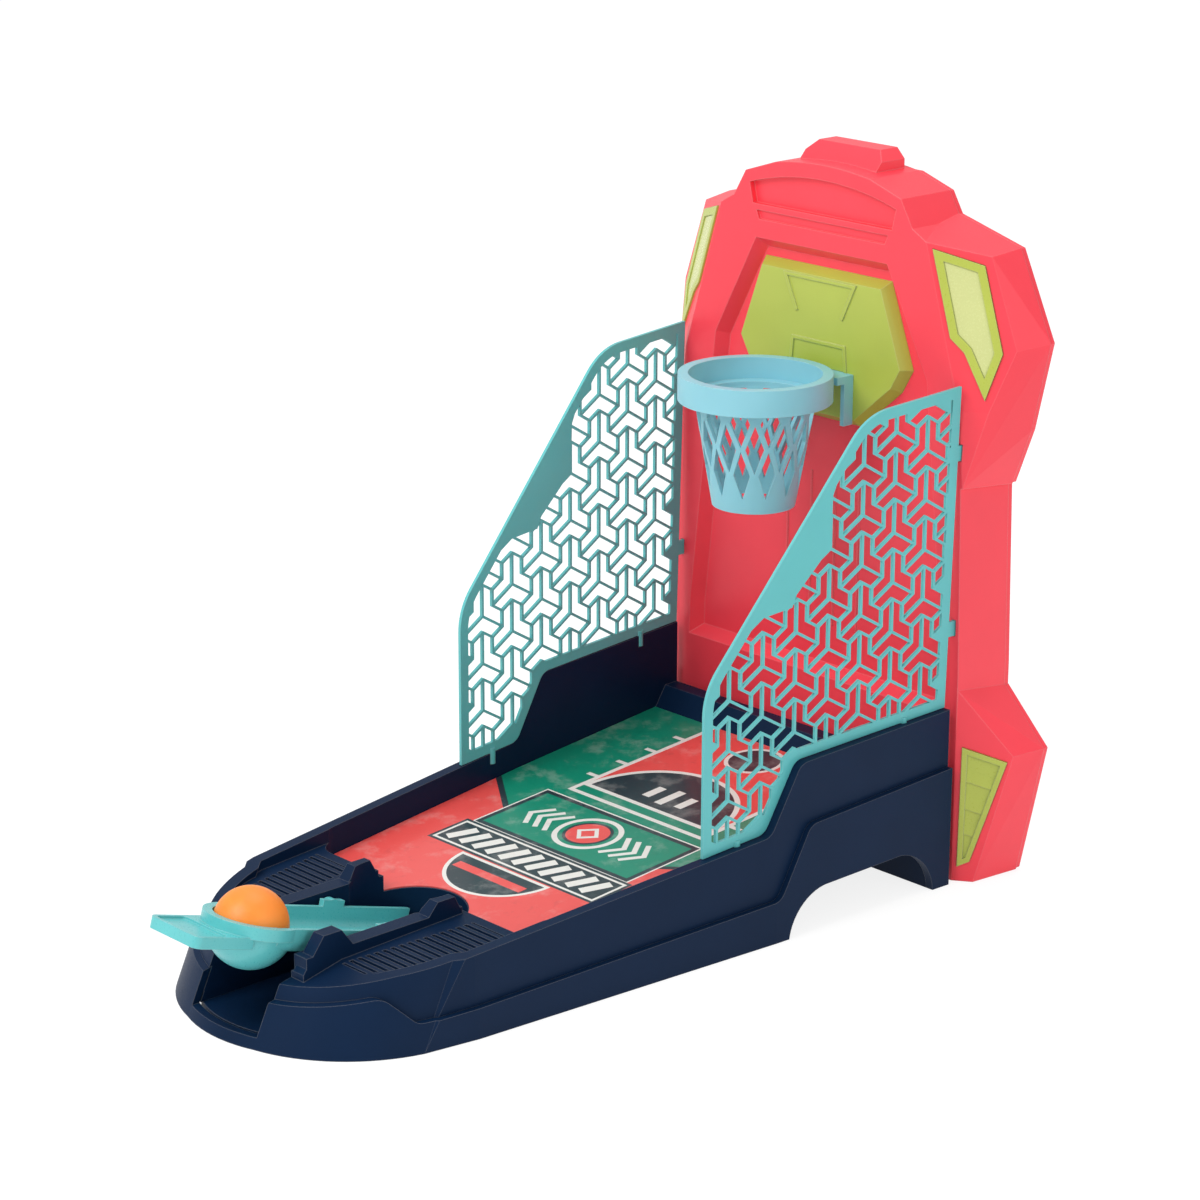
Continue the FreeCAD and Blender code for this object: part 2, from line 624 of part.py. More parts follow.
def leaning_front(name, inset):
    """All that lies behind the nose as it leans back with height, open wide at its sides."""
    shoulder, cheek, nose = inset_plan(inset)[-3:]
    away = size("base_tip_out")
    side = [(shoulder[0] + away, shoulder[1] + away), shoulder, cheek, nose]
    sketch = DOC.addObject("Sketcher::SketchObject", name + "_sketch")
    fill_sketch(sketch, [mirrored(side, tip_via(inset))])
    sketch.Placement = FreeCAD.Placement(vec(0, 0, 0), FreeCAD.Rotation())
    sketch.setExpression("Placement.Base.y", expression("0 - nose_lean * overrun"))
    sketch.setExpression("Placement.Base.z", expression("0 - overrun"))
    solid = DOC.addObject("Part::Extrusion", name)
    solid.Base = sketch
    solid.DirMode = "Custom"
    solid.Dir = vec(0, size("nose_lean"), 1)
    solid.Solid = True
    solid.setExpression("LengthFwd", expression("( %s + overrun ) * ( 1 + nose_lean ^ 2 ) ^ 0.5" % TALL))
    return solid


def base_plan(name, inset, rear=0.0, low="0"):
    """The base's plan drawn in by an inset: upright at its sides, leaning back at its nose."""
    upright = prism(name + "_upright", "XY", [mirrored(inset_plan(inset, rear), tip_via(inset))], low, TALL)
    return overlap(name, [upright, leaning_front(name + "_lean", inset)])


# Base skirt
ARCH_VIA = ("via", -size("foot_out") - ARCH_BULGE_SHARES[0] * (size("arch_out") - size("foot_out")),
            ARCH_BULGE_SHARES[1] * size("arch_height"))
belly_run = size("belly_front_out") - size("belly_out")
BELLY_VIA = ("via", -size("belly_out") - BELLY_BULGE_SHARES[0] * belly_run,
             BELLY_BULGE_SHARES[1] * size("belly_height"))
skirt_under = [
    (0.0, 0.0), (-size("foot_out"), 0.0), ARCH_VIA, (-size("arch_out"), size("arch_height")),
    (-size("belly_out"), size("belly_height")), BELLY_VIA, (-size("belly_front_out"), 0.0),
    (-size("base_tip_out") - OVER, 0.0),
]
skirt_block = overlap("skirt_block", [
    base_plan("skirt_plan", 0.0),
    prism("skirt_side", "YZ", [skirt_under + skirt_top()[::-1]], *WIDE),
])
skirt_ring = carved("skirt_ring", skirt_block, [
    base_plan("skirt_hollow", size("skirt_wall"), OVER, "0 - overrun"),
])
skirt_pieces = [
    skirt_ring,
    block("front_cross_wall",
          ("0 - base_bend_half + skirt_wall - fit_gap", "base_bend_half - skirt_wall + fit_gap"),
          ("0 - skirt_low_out - cross_wall", "0 - skirt_low_out"),
          ("0", "skirt_low_height - lap_rise - rest_gap")),
    block("rear_cross_wall", ("0 - base_rear_half + skirt_wall / 2", "base_rear_half - skirt_wall / 2"),
          ("0 - foot_out", "0 - foot_out + cross_wall"), ("0", "link_low")),
]
for index, place in enumerate(BASE_SCREWS):
    hand = 1 if place.x > 0 else -1
    wall_half = base_half(-place.y, TAB_REACH_SHARE * size("skirt_wall"))
    inner_half = abs(place.x) - size("tab_length") / 2
    low_x, high_x = sorted((hand * inner_half, hand * wall_half))
    half_width = size("tab_width") / 2
    skirt_pieces.append(block("skirt_tab_%d" % index, (low_x, high_x),
                              (place.y - half_width, place.y + half_width), ("tab_low", TAB_TOP)))
base_skirt = carved("base_skirt", joined("skirt_joined", skirt_pieces), [
    block("nose_notch", ("0 - slot_half", "slot_half"),
          ("0 - base_tip_out - overrun", "0 - rail_front_out"), ("sill_height", TALL)),
] + screw_bores("tab_bore", BASE_SCREWS, UP, "screw_radius + fit_gap", "screw_length"))

# Deck: side walls, sloping court, launcher bay
deck_upper = overlap("deck_upper", [
    base_plan("deck_plan", DECK_INSET),
    prism("deck_side", "YZ", [
        rim_line(0.0) + [
            (-size("rim_front_out"), size("rim_front_height")),
            (-size("rim_nose_out"), size("rim_nose_height")),
            (-size("base_tip_out") - OVER, size("rim_tip_height")),
        ] + skirt_top()[::-1]], *WIDE),
])
LAP_INSET = size("skirt_wall") + size("fit_gap")
lap_low = [
    (0.0, size("link_low")), (-size("skirt_step_out"), size("link_low")),
    (-size("skirt_low_out"), size("skirt_low_height") - size("lap_rise")),
    (-size("skirt_front_out"), size("skirt_front_height") - size("lap_rise")),
    (-size("skirt_nose_out"), size("skirt_nose_height") - size("lap_nose")),
    (-size("base_tip_out"), size("skirt_tip_height") - size("lap_nose")),
]
lap_high = [
    (-size("base_tip_out"), size("rim_tip_height") - size("lap_cover")),
    (-size("rim_nose_out"), size("rim_nose_height") - size("lap_cover")),
    (-size("rim_low_out"), size("rim_low_height") - size("lap_cover")),
    (-size("rim_step_out"), size("rim_step_height") - size("lap_cover")),
    (0.0, size("rim_step_height") - size("lap_cover")),
]
deck_inner = overlap("deck_inner", [
    base_plan("lap_plan", LAP_INSET),
    prism("lap_side", "YZ", [lap_low + lap_high], *WIDE),
])
well_corners = [
    (base_half(-OVER, SIDE), OVER), (base_half(size("base_bend_out"), SIDE), -size("base_bend_out")),
    (base_half(size("court_front_out"), SIDE), -size("court_front_out")),
]


def well_outline(points, radius):
    """A court outline with its two front corners rounded, from the right side's three corners."""
    back, bend, front = points
    arc = corner_arc(bend, front, (-front[0], front[1]), radius)
    return mirrored([back, bend] + arc)


court_well = overlap("court_well", [
    prism("well_plan", "XY", [well_outline(well_corners, size("court_corner"))], "0", TALL),
    prism("well_side", "YZ", [[
        (OVER, size("ledge_height")), (-size("ledge_out"), size("ledge_height")),
        (-size("court_back_out"), court_floor_height(size("court_back_out"))),
        (-size("court_front_out"), court_floor_height(size("court_front_out"))),
        (-size("court_front_out"), OPEN_TOP), (OVER, OPEN_TOP)]], *WIDE),
])
BAY_INSET = DECK_INSET + size("bay_lip")
bay_start = size("court_front_out") - size("court_corner")
bay_bend = size("rim_nose_out")
bay_end = size("base_tip_out")
launcher_bay = overlap("launcher_bay", [
    base_plan("bay_plan", BAY_INSET),
    prism("bay_side", "YZ", [[
        (-bay_start, bay_height(bay_start)), (-bay_end, bay_height(bay_end)),
        (-bay_end, OPEN_TOP), (-bay_start, OPEN_TOP)]], *WIDE),
])
CAVITY_INSET = LAP_INSET + size("shell_wall")
floor_drop = size("court_floor")
bay_wall_out = size("court_front_out") + size("shell_wall")
under_cavity = overlap("under_cavity", [
    base_plan("cavity_plan", CAVITY_INSET, -size("shell_wall")),
    prism("cavity_side", "YZ", [[
        (OVER, 0.0), (OVER, size("ledge_height") - size("shell_wall")),
        (-size("ledge_out") + size("shell_wall"), size("ledge_height") - size("shell_wall")),
        (-size("court_back_out"), court_floor_height(size("court_back_out")) - floor_drop),
        (-bay_wall_out, court_floor_height(bay_wall_out) - floor_drop),
        (-bay_wall_out, bay_height(bay_wall_out) - floor_drop),
        (-bay_bend, bay_height(bay_bend) - floor_drop),
        (-bay_end, size("rim_tip_height") - floor_drop), (-bay_end, 0.0)]], *WIDE),
])
deck_core = carved("deck_core", joined("deck_mass", [deck_upper, deck_inner]),
                   [court_well, launcher_bay, under_cavity])
embed = floor_drop / 2
embed_out = size("court_front_out") + embed
under_top = prism("under_top", "YZ", [[
    (0.0, 0.0), (0.0, court_floor_height(0.0) - embed),
    (-embed_out, court_floor_height(embed_out) - embed), (-embed_out, bay_height(embed_out) - embed),
    (-bay_bend, bay_height(bay_bend) - embed), (-bay_end, size("rim_tip_height") - embed),
    (-bay_end, 0.0)]], *WIDE)
PIT = vec(0, -size("pit_out"), 0)
deck_posts = [
    cylinder("base_post_%d" % index, "screw_post", "court_back_height", vec(place.x, place.y, TAB_TOP))
    for index, place in enumerate(BASE_SCREWS)
] + [
    cylinder("tray_post_%d" % index, "screw_post", "court_back_height", vec(place.x, place.y, TRAY_TOP))
    for index, place in enumerate(TRAY_SCREWS)
] + [
    cylinder("keeper_post_%d" % index, "screw_post", "court_back_height", vec(place.x, place.y, KEEPER_TOP))
    for index, place in enumerate(KEEPER_SCREWS)
]
deck_walls = overlap("deck_walls", [
    joined("wall_masses", deck_posts + [
        cylinder("pit_wall", "pit_radius + slot_wall", "court_back_height", PIT + vec(0, 0, TRAY_TOP)),
        block("slot_walls", ("0 - slot_half - slot_wall", "slot_half + slot_wall"),
              ("0 - base_nose_out", "0 - pit_out"), (TRAY_TOP, TALL)),
        block("bearing_walls", ("0 - rail_half", "rail_half"),
              ("0 - pivot_out - bearing_half", "0 - pivot_out + bearing_half"), (KEEPER_TOP, TALL)),
    ]),
    under_top,
    leaning_front("walls_front", LAP_INSET + size("rest_gap")),
])


def ear(name, out, height, back_low):
    """One upright ear's side view, drawn between the two faces of the rail."""
    top = size("ear_top") / 2
    foot = top + size("ear_slope")
    low = size("bay_front_height")
    points = [(-out - foot, low), (-out - top, height), (-out + top, height), (back_low, low)]
    return prism(name, "YZ", [points], "ear_inner", "ear_outer")


front_ear = ear("front_ear", size("front_ear_out"), size("front_ear_height"),
                -size("front_ear_out") + size("ear_top") / 2 + size("ear_slope"))
back_ear = ear("back_ear", size("back_ear_out"), size("back_ear_height"), -size("court_front_out"))
link_bosses = [
    cylinder("link_boss_%d" % index, "screw_post", "court_back_out", vec(place.x, 0, place.z), PLAYERWARD)
    for index, place in enumerate(LINK_SCREWS)
]
deck_full = joined("deck_full", [
    joined("deck_walled", [deck_core, deck_walls]), front_ear, back_ear,
    mirror_of("front_ear_left", front_ear), mirror_of("back_ear_left", back_ear),
    block("rails", ("0 - rail_half", "rail_half"), ("0 - rail_front_out", "0 - rail_back_out"),
          ("bay_front_height - court_floor / 2", "rail_height")),
    block("rail_feet", ("0 - rail_half", "rail_half"),
          ("0 - front_ear_out - ear_top / 2 - ear_slope", "0 - front_ear_out"),
          ("rim_tip_height + court_floor", "bay_front_height")),
    block("rear_tongue", ("0 - link_half", "link_half"), ("0 - shell_wall", "tower_front"),
          ("link_low", "link_high")),
] + link_bosses)

pad_right = [
    (size("pad_inner_back"), -size("pad_back_out")), (size("pad_outer_back"), -size("pad_back_out")),
    (size("pad_outer_bend"), -size("pad_bend_out")), (size("pad_outer_front"), -size("pad_front_out")),
    (size("pad_inner_front"), -size("pad_front_out")),
]
pad_left = [(-across, along) for across, along in pad_right]
pad_depth = size("pad_depth")
pad_slab = prism("pad_slab", "YZ", [[
    (-bay_start, bay_height(bay_start) - pad_depth), (-bay_end, bay_height(bay_end) - pad_depth),
    (-bay_end, OPEN_TOP), (-bay_start, OPEN_TOP)]], *WIDE)
rib_count = int(size("pad_ribs"))
rib_pitch = (size("pad_front_out") - size("pad_back_out")) / rib_count
rib_places = [-size("pad_back_out") - rib_pitch * (index + HALF_SHARE) for index in range(rib_count)]
grip_pads = carved("grip_pads",
                   overlap("pad_pockets", [
                       prism("pad_plan", "XY", [pad_right, pad_left], "0", TALL), pad_slab]),
                   [bars("pad_rib_bars", "YZ", rib_places, 0.0, 2 * OPEN_TOP, size("pad_rib_width"), *WIDE)])


def net_half(out):
    """Half width from the middle plane to a side net's middle at a distance from the back."""
    slope = (size("net_rear_half") - size("net_front_half")) / size("net_length")
    return size("net_rear_half") - slope * out


NET_PEGS = []
for peg_out in (size("net_rear_peg"), size("net_front_peg")):
    for hand in (-1, 1):
        NET_PEGS.append(vec(hand * net_half(peg_out), -peg_out, rim_height(peg_out) - size("net_peg_length")))
deck_tools = [
    grip_pads,
    cylinder("pit", "pit_radius", TALL, PIT),
    block("slot", ("0 - slot_half", "slot_half"), ("0 - base_tip_out - overrun", "0 - pit_out"), ("0", TALL)),
    cylinder("bearing_bore", "trunnion_radius + trunnion_gap", "2 * trunnion_end + 2 * fit_gap",
             PIVOT - SIDEWAYS * (size("trunnion_end") + size("fit_gap")), SIDEWAYS),
    block("bearing_slots", ("0 - trunnion_end - fit_gap", "trunnion_end + fit_gap"),
          ("0 - pivot_out - trunnion_radius - trunnion_gap",
           "0 - pivot_out + trunnion_radius + trunnion_gap"),
          ("0", "pivot_height")),
] + screw_bores("base_bore", BASE_SCREWS, UP, "screw_radius + fit_gap", "screw_length + rest_gap")
deck_tools += screw_bores("tray_bore", TRAY_SCREWS, UP, "screw_radius + fit_gap", "screw_length + rest_gap")
deck_tools += screw_bores("keeper_bore", KEEPER_SCREWS, UP, "screw_radius + fit_gap",
                          "screw_length + rest_gap")
deck_tools += screw_bores("link_bore", LINK_SCREWS, PLAYERWARD, "screw_radius + fit_gap",
                          "link_screw_length + rest_gap")
deck_tools += [
    cylinder("peg_hole_%d" % index, "net_peg_radius + fit_gap", "3 * net_peg_length",
             place - UP * size("rest_gap"))
    for index, place in enumerate(NET_PEGS)
]
deck_shell = carved("deck_shell", deck_full, deck_tools)

# Court card
MARGIN = size("card_margin")
card_corners = [
    (base_half(size("court_back_out") + MARGIN, SIDE + MARGIN), -size("court_back_out") - MARGIN),
    (base_half(size("base_bend_out"), SIDE + MARGIN), -size("base_bend_out")),
    (base_half(size("court_front_out"), SIDE + MARGIN), -size("court_front_out") + MARGIN),
]
card_back = size("court_back_out")
card_front = size("court_front_out")
court_card = carved("court_card", overlap("card_sheet", [
    prism("card_plan", "XY", [well_outline(card_corners, size("court_corner") - MARGIN)], "0", TALL),
    prism("card_side", "YZ", [[
        (-card_back, court_floor_height(card_back)), (-card_front, court_floor_height(card_front)),
        (-card_front, court_height(card_front)), (-card_back, court_height(card_back))]], *WIDE),
]), [cylinder("card_pit", "pit_radius + card_margin", TALL, PIT)])

# Ball tray under the launcher, with the spring's lower post, and the rubber stop on it
tray_right = [
    (size("tray_half"), -size("tray_back_out")), (size("tray_half"), -size("tray_taper_out")),
    (size("tray_nose_half"), -size("tray_front_out")),
]
SPRING_PLACE = vec(0, -size("spring_out"), TRAY_TOP)
ball_tray = carved("ball_tray", joined("tray_joined", [
    prism("tray_plate", "XY", [mirrored(tray_right, ("via", 0.0, -size("tray_tip_out")))],
          "tray_low", "tray_low + tray_thick"),
    cylinder("tray_post", "post_radius", "post_height + tray_thick", SPRING_PLACE - UP * size("tray_thick")),
]), screw_bores("tray_hole", TRAY_SCREWS, UP, "screw_radius + fit_gap", "screw_length")
    + screw_bores("tray_sink", TRAY_SCREWS, UP * -1, "head_radius + fit_gap", "head_height + overrun"))
TILT = math.radians(size("lever_tilt"))
TAIL_LOW = (size("pivot_height") - size("trough_tail") * math.sin(TILT)
            - (size("trough_depth") - size("trough_rise")) * math.cos(TILT))
TAIL_Y = (-size("pivot_out") + size("trough_tail") * math.cos(TILT)
          - (size("trough_depth") - size("trough_rise")) * math.sin(TILT))
stop_near = TAIL_Y - size("pad_length") / 2
stop_far = TAIL_Y + size("pad_length") / 2
stop_top = TAIL_LOW - size("rest_gap")
stop_pad = prism("stop_pad", "YZ", [[(stop_near, TRAY_TOP), (stop_far, TRAY_TOP), (stop_far, stop_top),
                                     (stop_near, stop_top)]], "0 - pad_half", "pad_half")

# Launch lever, drawn level about its pivot, tab towards the player
CUP = vec(0, -size("cup_reach"), -size("cup_drop"))
TROUGH_LOW = size("trough_rise") - size("trough_depth")


def trough_section(half, low, high, radius):
    """The trough's section seen from the front, its two lower corners rounded."""
    right_low = (half, low)
    left_low = (-half, low)
    return ([(half, high)] + corner_arc((half, high), right_low, left_low, radius)
            + corner_arc(right_low, left_low, (-half, high), radius) + [(-half, high)])


round_outer = size("trough_round")
lever_wall = size("lever_wall")
thumb_back = size("cup_reach") + size("rim_radius") / 2
thumb_points = [(size("thumb_half"), -thumb_back), (size("thumb_half"), -size("tab_reach"))]
thumb_front = corner_arc(thumb_points[0], thumb_points[1], (-size("thumb_half"), -size("tab_reach")),
                         size("thumb_corner"))
thumb_outline = mirrored([thumb_points[0]] + thumb_front)
hollow_half = size("thumb_half") - size("thumb_edge")
hollow_front = size("tab_reach") - size("thumb_edge")
hollow_back = size("cup_reach") + size("rim_radius") + size("thumb_edge")
POST_ALONG = ((size("pivot_out") - size("spring_out") - TROUGH_LOW * math.sin(TILT)) / math.cos(TILT))
lever_mass = joined("lever_mass", [
    prism("trough_block", "XZ",
          [trough_section(size("trough_half"), TROUGH_LOW, size("trough_rise"), round_outer)],
          "0 - cup_reach", "trough_tail"),
    overlap("cup_outside", [
        ball_shape("cup_ball", "ball_radius + cup_gap + cup_wall", CUP),
        block("cup_limit", ("0 - rim_radius", "rim_radius"),
              ("0 - cup_reach - rim_radius", "0 - cup_reach + rim_radius"),
              ("0 - 2 * rim_radius", "trough_rise")),
    ]),
    cylinder("cup_rim", "rim_radius", "rim_drop", vec(0, CUP.y, size("trough_rise") - size("rim_drop"))),
    prism("thumb_plate", "XY", [thumb_outline], "0 - thumb_top_drop - thumb_thick", "0 - thumb_top_drop"),
    cylinder("pivot_boss", "boss_radius", "2 * boss_face", SIDEWAYS * -size("boss_face"), SIDEWAYS),
    cylinder("trunnions", "trunnion_radius", "2 * trunnion_end", SIDEWAYS * -size("trunnion_end"), SIDEWAYS),
    block("side_bumps", ("0 - bump_face", "bump_face"), ("0 - bump_half", "bump_half"), ("0", "bump_rise")),
    cylinder("lever_post", "post_radius", "post_height + lever_wall / 2",
             vec(0, POST_ALONG, TROUGH_LOW - size("post_height"))),
])
launch_lever = carved("launch_lever", lever_mass, [
    prism("trough_channel", "XZ",
          [trough_section(size("trough_half") - lever_wall, TROUGH_LOW + lever_wall, OVER,
                          round_outer - lever_wall)], "0 - cup_reach", "trough_tail + overrun"),
    ball_shape("cup_inside", "ball_radius + cup_gap", CUP),
    cylinder("cup_mouth", "ball_radius + cup_gap", "rim_radius", CUP),
    prism("thumb_pocket", "XY", [rounded([
        (hollow_half, -hollow_back), (hollow_half, -hollow_front), (-hollow_half, -hollow_front),
        (-hollow_half, -hollow_back)], size("thumb_edge"))], "0 - thumb_top_drop - thumb_hollow", "overrun"),
])

# Lever spring: evenly wound wire between the tray and the trough
COIL_LOW = TRAY_TOP + size("spring_wire") / 2 + size("fit_gap")
COIL_HIGH = (size("pivot_height") - POST_ALONG * math.sin(TILT) + TROUGH_LOW * math.cos(TILT)
             - (size("spring_radius") + size("spring_wire")) * math.tan(TILT) - size("spring_wire"))


def least_gap(stations, apart, thick):
    """The least gap of a round wire to itself, between points far enough apart along it."""
    closest = min((stations[near] - stations[far]).Length
                  for near in range(len(stations)) for far in range(near + apart, len(stations)))
    return closest - thick


def coil_shape():
    """Round wire wound about Z, as one tube along quarter turns."""
    steps = int(size("spring_turns")) * STEPS_PER_TURN
    step_angle = 2 * math.pi / STEPS_PER_TURN
    centre = vec(0, -size("spring_out"), 0)
    stations = []
    for index in range(steps + 1):
        angle = step_angle * index
        rise = (COIL_HIGH - COIL_LOW) * index / steps
        stations.append(centre + vec(size("spring_radius") * math.cos(angle),
                                     size("spring_radius") * math.sin(angle), COIL_LOW + rise))
    arcs = [Part.Arc(stations[index], stations[index + 1], stations[index + 2]).toShape()
            for index in range(0, steps, 2)]
    gap = least_gap(stations, STEPS_PER_TURN // 2, size("spring_wire"))
    print("spring's least gap to itself: %.2f mm" % gap)
    path = Part.Wire(arcs)
    start = vec(0, 1, (COIL_HIGH - COIL_LOW) / steps / (step_angle * size("spring_radius")))
    ring = Part.Wire(Part.makeCircle(size("spring_wire") / 2, stations[0], start))
    return Part.makeSolid(path.makePipeShell([ring], True, False))


lever_spring = fixed_shape("lever_spring", coil_shape())

# Keepers that close the trunnion bearings from below
keeper_plate = block("keeper_plate", ("slot_half + slot_wall + rest_gap", "rail_half + 2 * screw_post"),
                     ("0 - pivot_out - bearing_half + cross_wall",
                      "0 - pivot_out + bearing_half - cross_wall"),
                     (KEEPER_LOW, KEEPER_TOP))
keeper_stem = block("keeper_stem", ("slot_half + rest_gap", "trunnion_end"),
                    ("0 - pivot_out - trunnion_radius", "0 - pivot_out + trunnion_radius"),
                    (KEEPER_LOW, "pivot_height - trunnion_radius - trunnion_gap"))
keeper_right = carved("keeper_right", joined("keeper_joined", [keeper_plate, keeper_stem]), screw_bores(
    "keeper_hole", KEEPER_SCREWS[1:], UP, "screw_radius + fit_gap", "screw_length"))
pivot_keepers = DOC.addObject("Part::Compound", "pivot_keepers")
pivot_keepers.Links = [keeper_right, mirror_of("keeper_left", keeper_right)]

# Ball, in the cup with the lever at rest
BALL_PLACE = PIVOT + vec(0, CUP.y * math.cos(TILT) + CUP.z * math.sin(TILT),
                         -CUP.y * math.sin(TILT) + CUP.z * math.cos(TILT))
ball = ball_shape("ball", "ball_radius", BALL_PLACE)


def scaled(shares, wide, high):
    """Outline points from their shares of a width and a height."""
    return [(across * wide, up * high) for across, up in shares]


def both_sides(right):
    """A closed straight-sided outline from its right side, bottom to top."""
    return right + [(-across, up) for across, up in reversed(right)]


# Tower
TOWER_HALF = size("tower_half")
TOWER_HEIGHT = size("tower_height")
TOWER_SPAN = ("tower_front", "tower_front + tower_depth")


def wing_points(shares, reach, face, level):
    """A wing's corners, those that level names brought onto the flat face of three others."""
    points = [vec(across * reach, size("tower_front") + along * size("tower_depth"), up * TOWER_HEIGHT)
              for across, along, up in shares]
    origin = points[face[0]]
    normal = (points[face[1]] - origin).cross(points[face[2]] - origin)
    for index in level:
        points[index].y -= normal.dot(points[index] - origin) / normal.y
    return points


def wing_hollow(points):
    """The space inside a wing: its corners drawn towards their middle, open at the back."""
    middle = vec(0, 0, 0)
    for point in points:
        middle += point * (1.0 / len(points))
    result = []
    for point in points:
        inner = middle + (point - middle) * WING_HOLLOW_SHARE
        inner.y = max(inner.y, INNER_FACE + size("rest_gap"))
        if point.y > TOWER_BACK - size("fit_gap"):
            inner.y = TOWER_BACK + 2 * OVER
        result.append(inner)
    return convex_solid(result)


def face_frame(points, face):
    """The placement of a wing's flat face, with its two edge lengths."""
    origin = points[face[0]]
    down_edge = points[face[1]] - origin
    side_edge = points[face[2]] - origin
    normal = down_edge.cross(side_edge)
    normal.normalize()
    across = FreeCAD.Vector(side_edge)
    across.normalize()
    turn = FreeCAD.Rotation(across, normal.cross(across), normal, "ZXY")
    return FreeCAD.Placement(origin, turn), side_edge.Length, down_edge.Length


def insert_ribs(outline, floor, ribs):
    """Slanting steps across an insert's hollow, thin at their upper edge and thick at their lower one."""
    first, second, last = [vec(outline[index][0], outline[index][1], 0) for index in (0, 1, -1)]
    slant = second - first
    inner_edge = last - first
    wedges = []
    for upper_share, lower_share in ribs:
        points = []
        for reach in (-1, 1):
            for share, rise in ((upper_share, 0.0), (lower_share, size("insert_rib"))):
                place = first + inner_edge * share + slant * reach
                points.append(place + UP * (floor + rise))
                points.append(place + UP * (floor - size("insert_rib")))
        wedges.append(convex_solid(points))
    return wedges


def insert_shape(points, face, shares, rim, ribs=()):
    """One insert: a plate sunk into a wing's face, with a raised rim round a hollow centre."""
    frame, side_length, down_length = face_frame(points, face)
    outline = scaled(shares, side_length, down_length)
    plate = slab(outline, -size("insert_depth"), size("insert_proud"))
    centre = flat_face(outline).makeOffset2D(-rim, join=2)
    floor = size("insert_proud") - size("insert_hollow")
    centre.translate(vec(0, 0, floor))
    plate = plate.cut(centre.extrude(vec(0, 0, OVER)))
    centre.translate(vec(0, 0, -size("insert_rib")))
    room = centre.extrude(vec(0, 0, OVER))
    for wedge in insert_ribs(outline, floor, ribs):
        plate = plate.fuse(wedge.common(room))
    plate.Placement = frame
    return plate


def pocket_shape(points, face, shares):
    """The pocket in a wing's face that an insert sits in."""
    frame, side_length, down_length = face_frame(points, face)
    outline = moved_in(scaled(shares, side_length, down_length), -size("fit_gap"))
    hollow = slab(outline, -size("insert_depth"), OVER)
    hollow.Placement = frame
    return hollow


def to_left(shape):
    """A shape's mirror image on the other side of the middle plane."""
    return shape.mirror(vec(0, 0, 0), SIDEWAYS)


upper_wing = wing_points(UPPER_WING_SHARES, size("upper_reach"), UPPER_FACE, (2, 5, 6))
lower_wing = wing_points(LOWER_WING_SHARES, size("lower_reach"), LOWER_FACE, (2,))
wing_solids = []
wing_spaces = []
wing_pockets = []
for name, points, face, shares in (("upper", upper_wing, UPPER_FACE, UPPER_INSERT_SHARES),
                                   ("lower", lower_wing, LOWER_FACE, LOWER_INSERT_SHARES)):
    solid = convex_solid(points)
    space = wing_hollow(points)
    pocket_tool = pocket_shape(points, face, shares)
    for hand, turned in (("right", lambda shape: shape), ("left", to_left)):
        wing_solids.append(fixed_shape("%s_wing_%s" % (name, hand), turned(solid)))
        wing_spaces.append(fixed_shape("%s_space_%s" % (name, hand), turned(space)))
        wing_pockets.append(fixed_shape("%s_pocket_%s" % (name, hand), turned(pocket_tool)))
upper_insert_right = fixed_shape("upper_insert_right", insert_shape(
    upper_wing, UPPER_FACE, UPPER_INSERT_SHARES, size("insert_rim")))
upper_insert_left = fixed_shape("upper_insert_left", to_left(upper_insert_right.Shape))
lower_insert_right = fixed_shape("lower_insert_right", insert_shape(
    lower_wing, LOWER_FACE, LOWER_INSERT_SHARES, size("insert_narrow_rim"), INSERT_RIB_SHARES))
lower_insert_left = fixed_shape("lower_insert_left", to_left(lower_insert_right.Shape))

trunk_right = scaled(TRUNK_SHARES, TOWER_HALF, TOWER_HEIGHT)
trunk = prism("trunk", "XZ", [mirrored(trunk_right, ("via", 0.0, TOWER_HEIGHT))], *TOWER_SPAN)
trunk_inner = moved_in(both_sides(trunk_right), size("tower_wall"))
trunk_space = prism("trunk_space", "XZ", [trunk_inner], "tower_front + recess_depth + tower_wall",
                    "tower_front + tower_depth + overrun")
crest_low = TOWER_HEIGHT - size("crest_drop")
crest_block = overlap("crest_block", [
    prism("crest_front", "XZ", [both_sides([
        (size("crest_half"), crest_low), (size("crest_half"), size("crest_height") - size("crest_chamfer")),
        (size("crest_half") - size("crest_chamfer"), size("crest_height"))])], *TOWER_SPAN),
    prism("crest_side", "YZ", [[
        (size("crest_front"), crest_low), (size("crest_front"), size("crest_height") - size("crest_drop")),
        (size("crest_front") + size("crest_depth") * CREST_SLOPE_SHARE, size("crest_height")),
        (size("crest_front") + size("crest_depth"), size("crest_height")),
        (size("crest_front") + size("crest_depth"), crest_low)]], *WIDE),
])


def recess(name, outline, depth, slope):
    """A hollow in the tower's front whose sides slope inwards to a flat floor."""
    front = size("tower_front")
    outer = moved_in(outline, -slope * OVER / depth)
    inner = moved_in(outline, slope)
    points = [vec(across, front - OVER, up) for across, up in outer]
    points += [vec(across, front + depth, up) for across, up in inner]
    return fixed_shape(name, convex_solid(points))


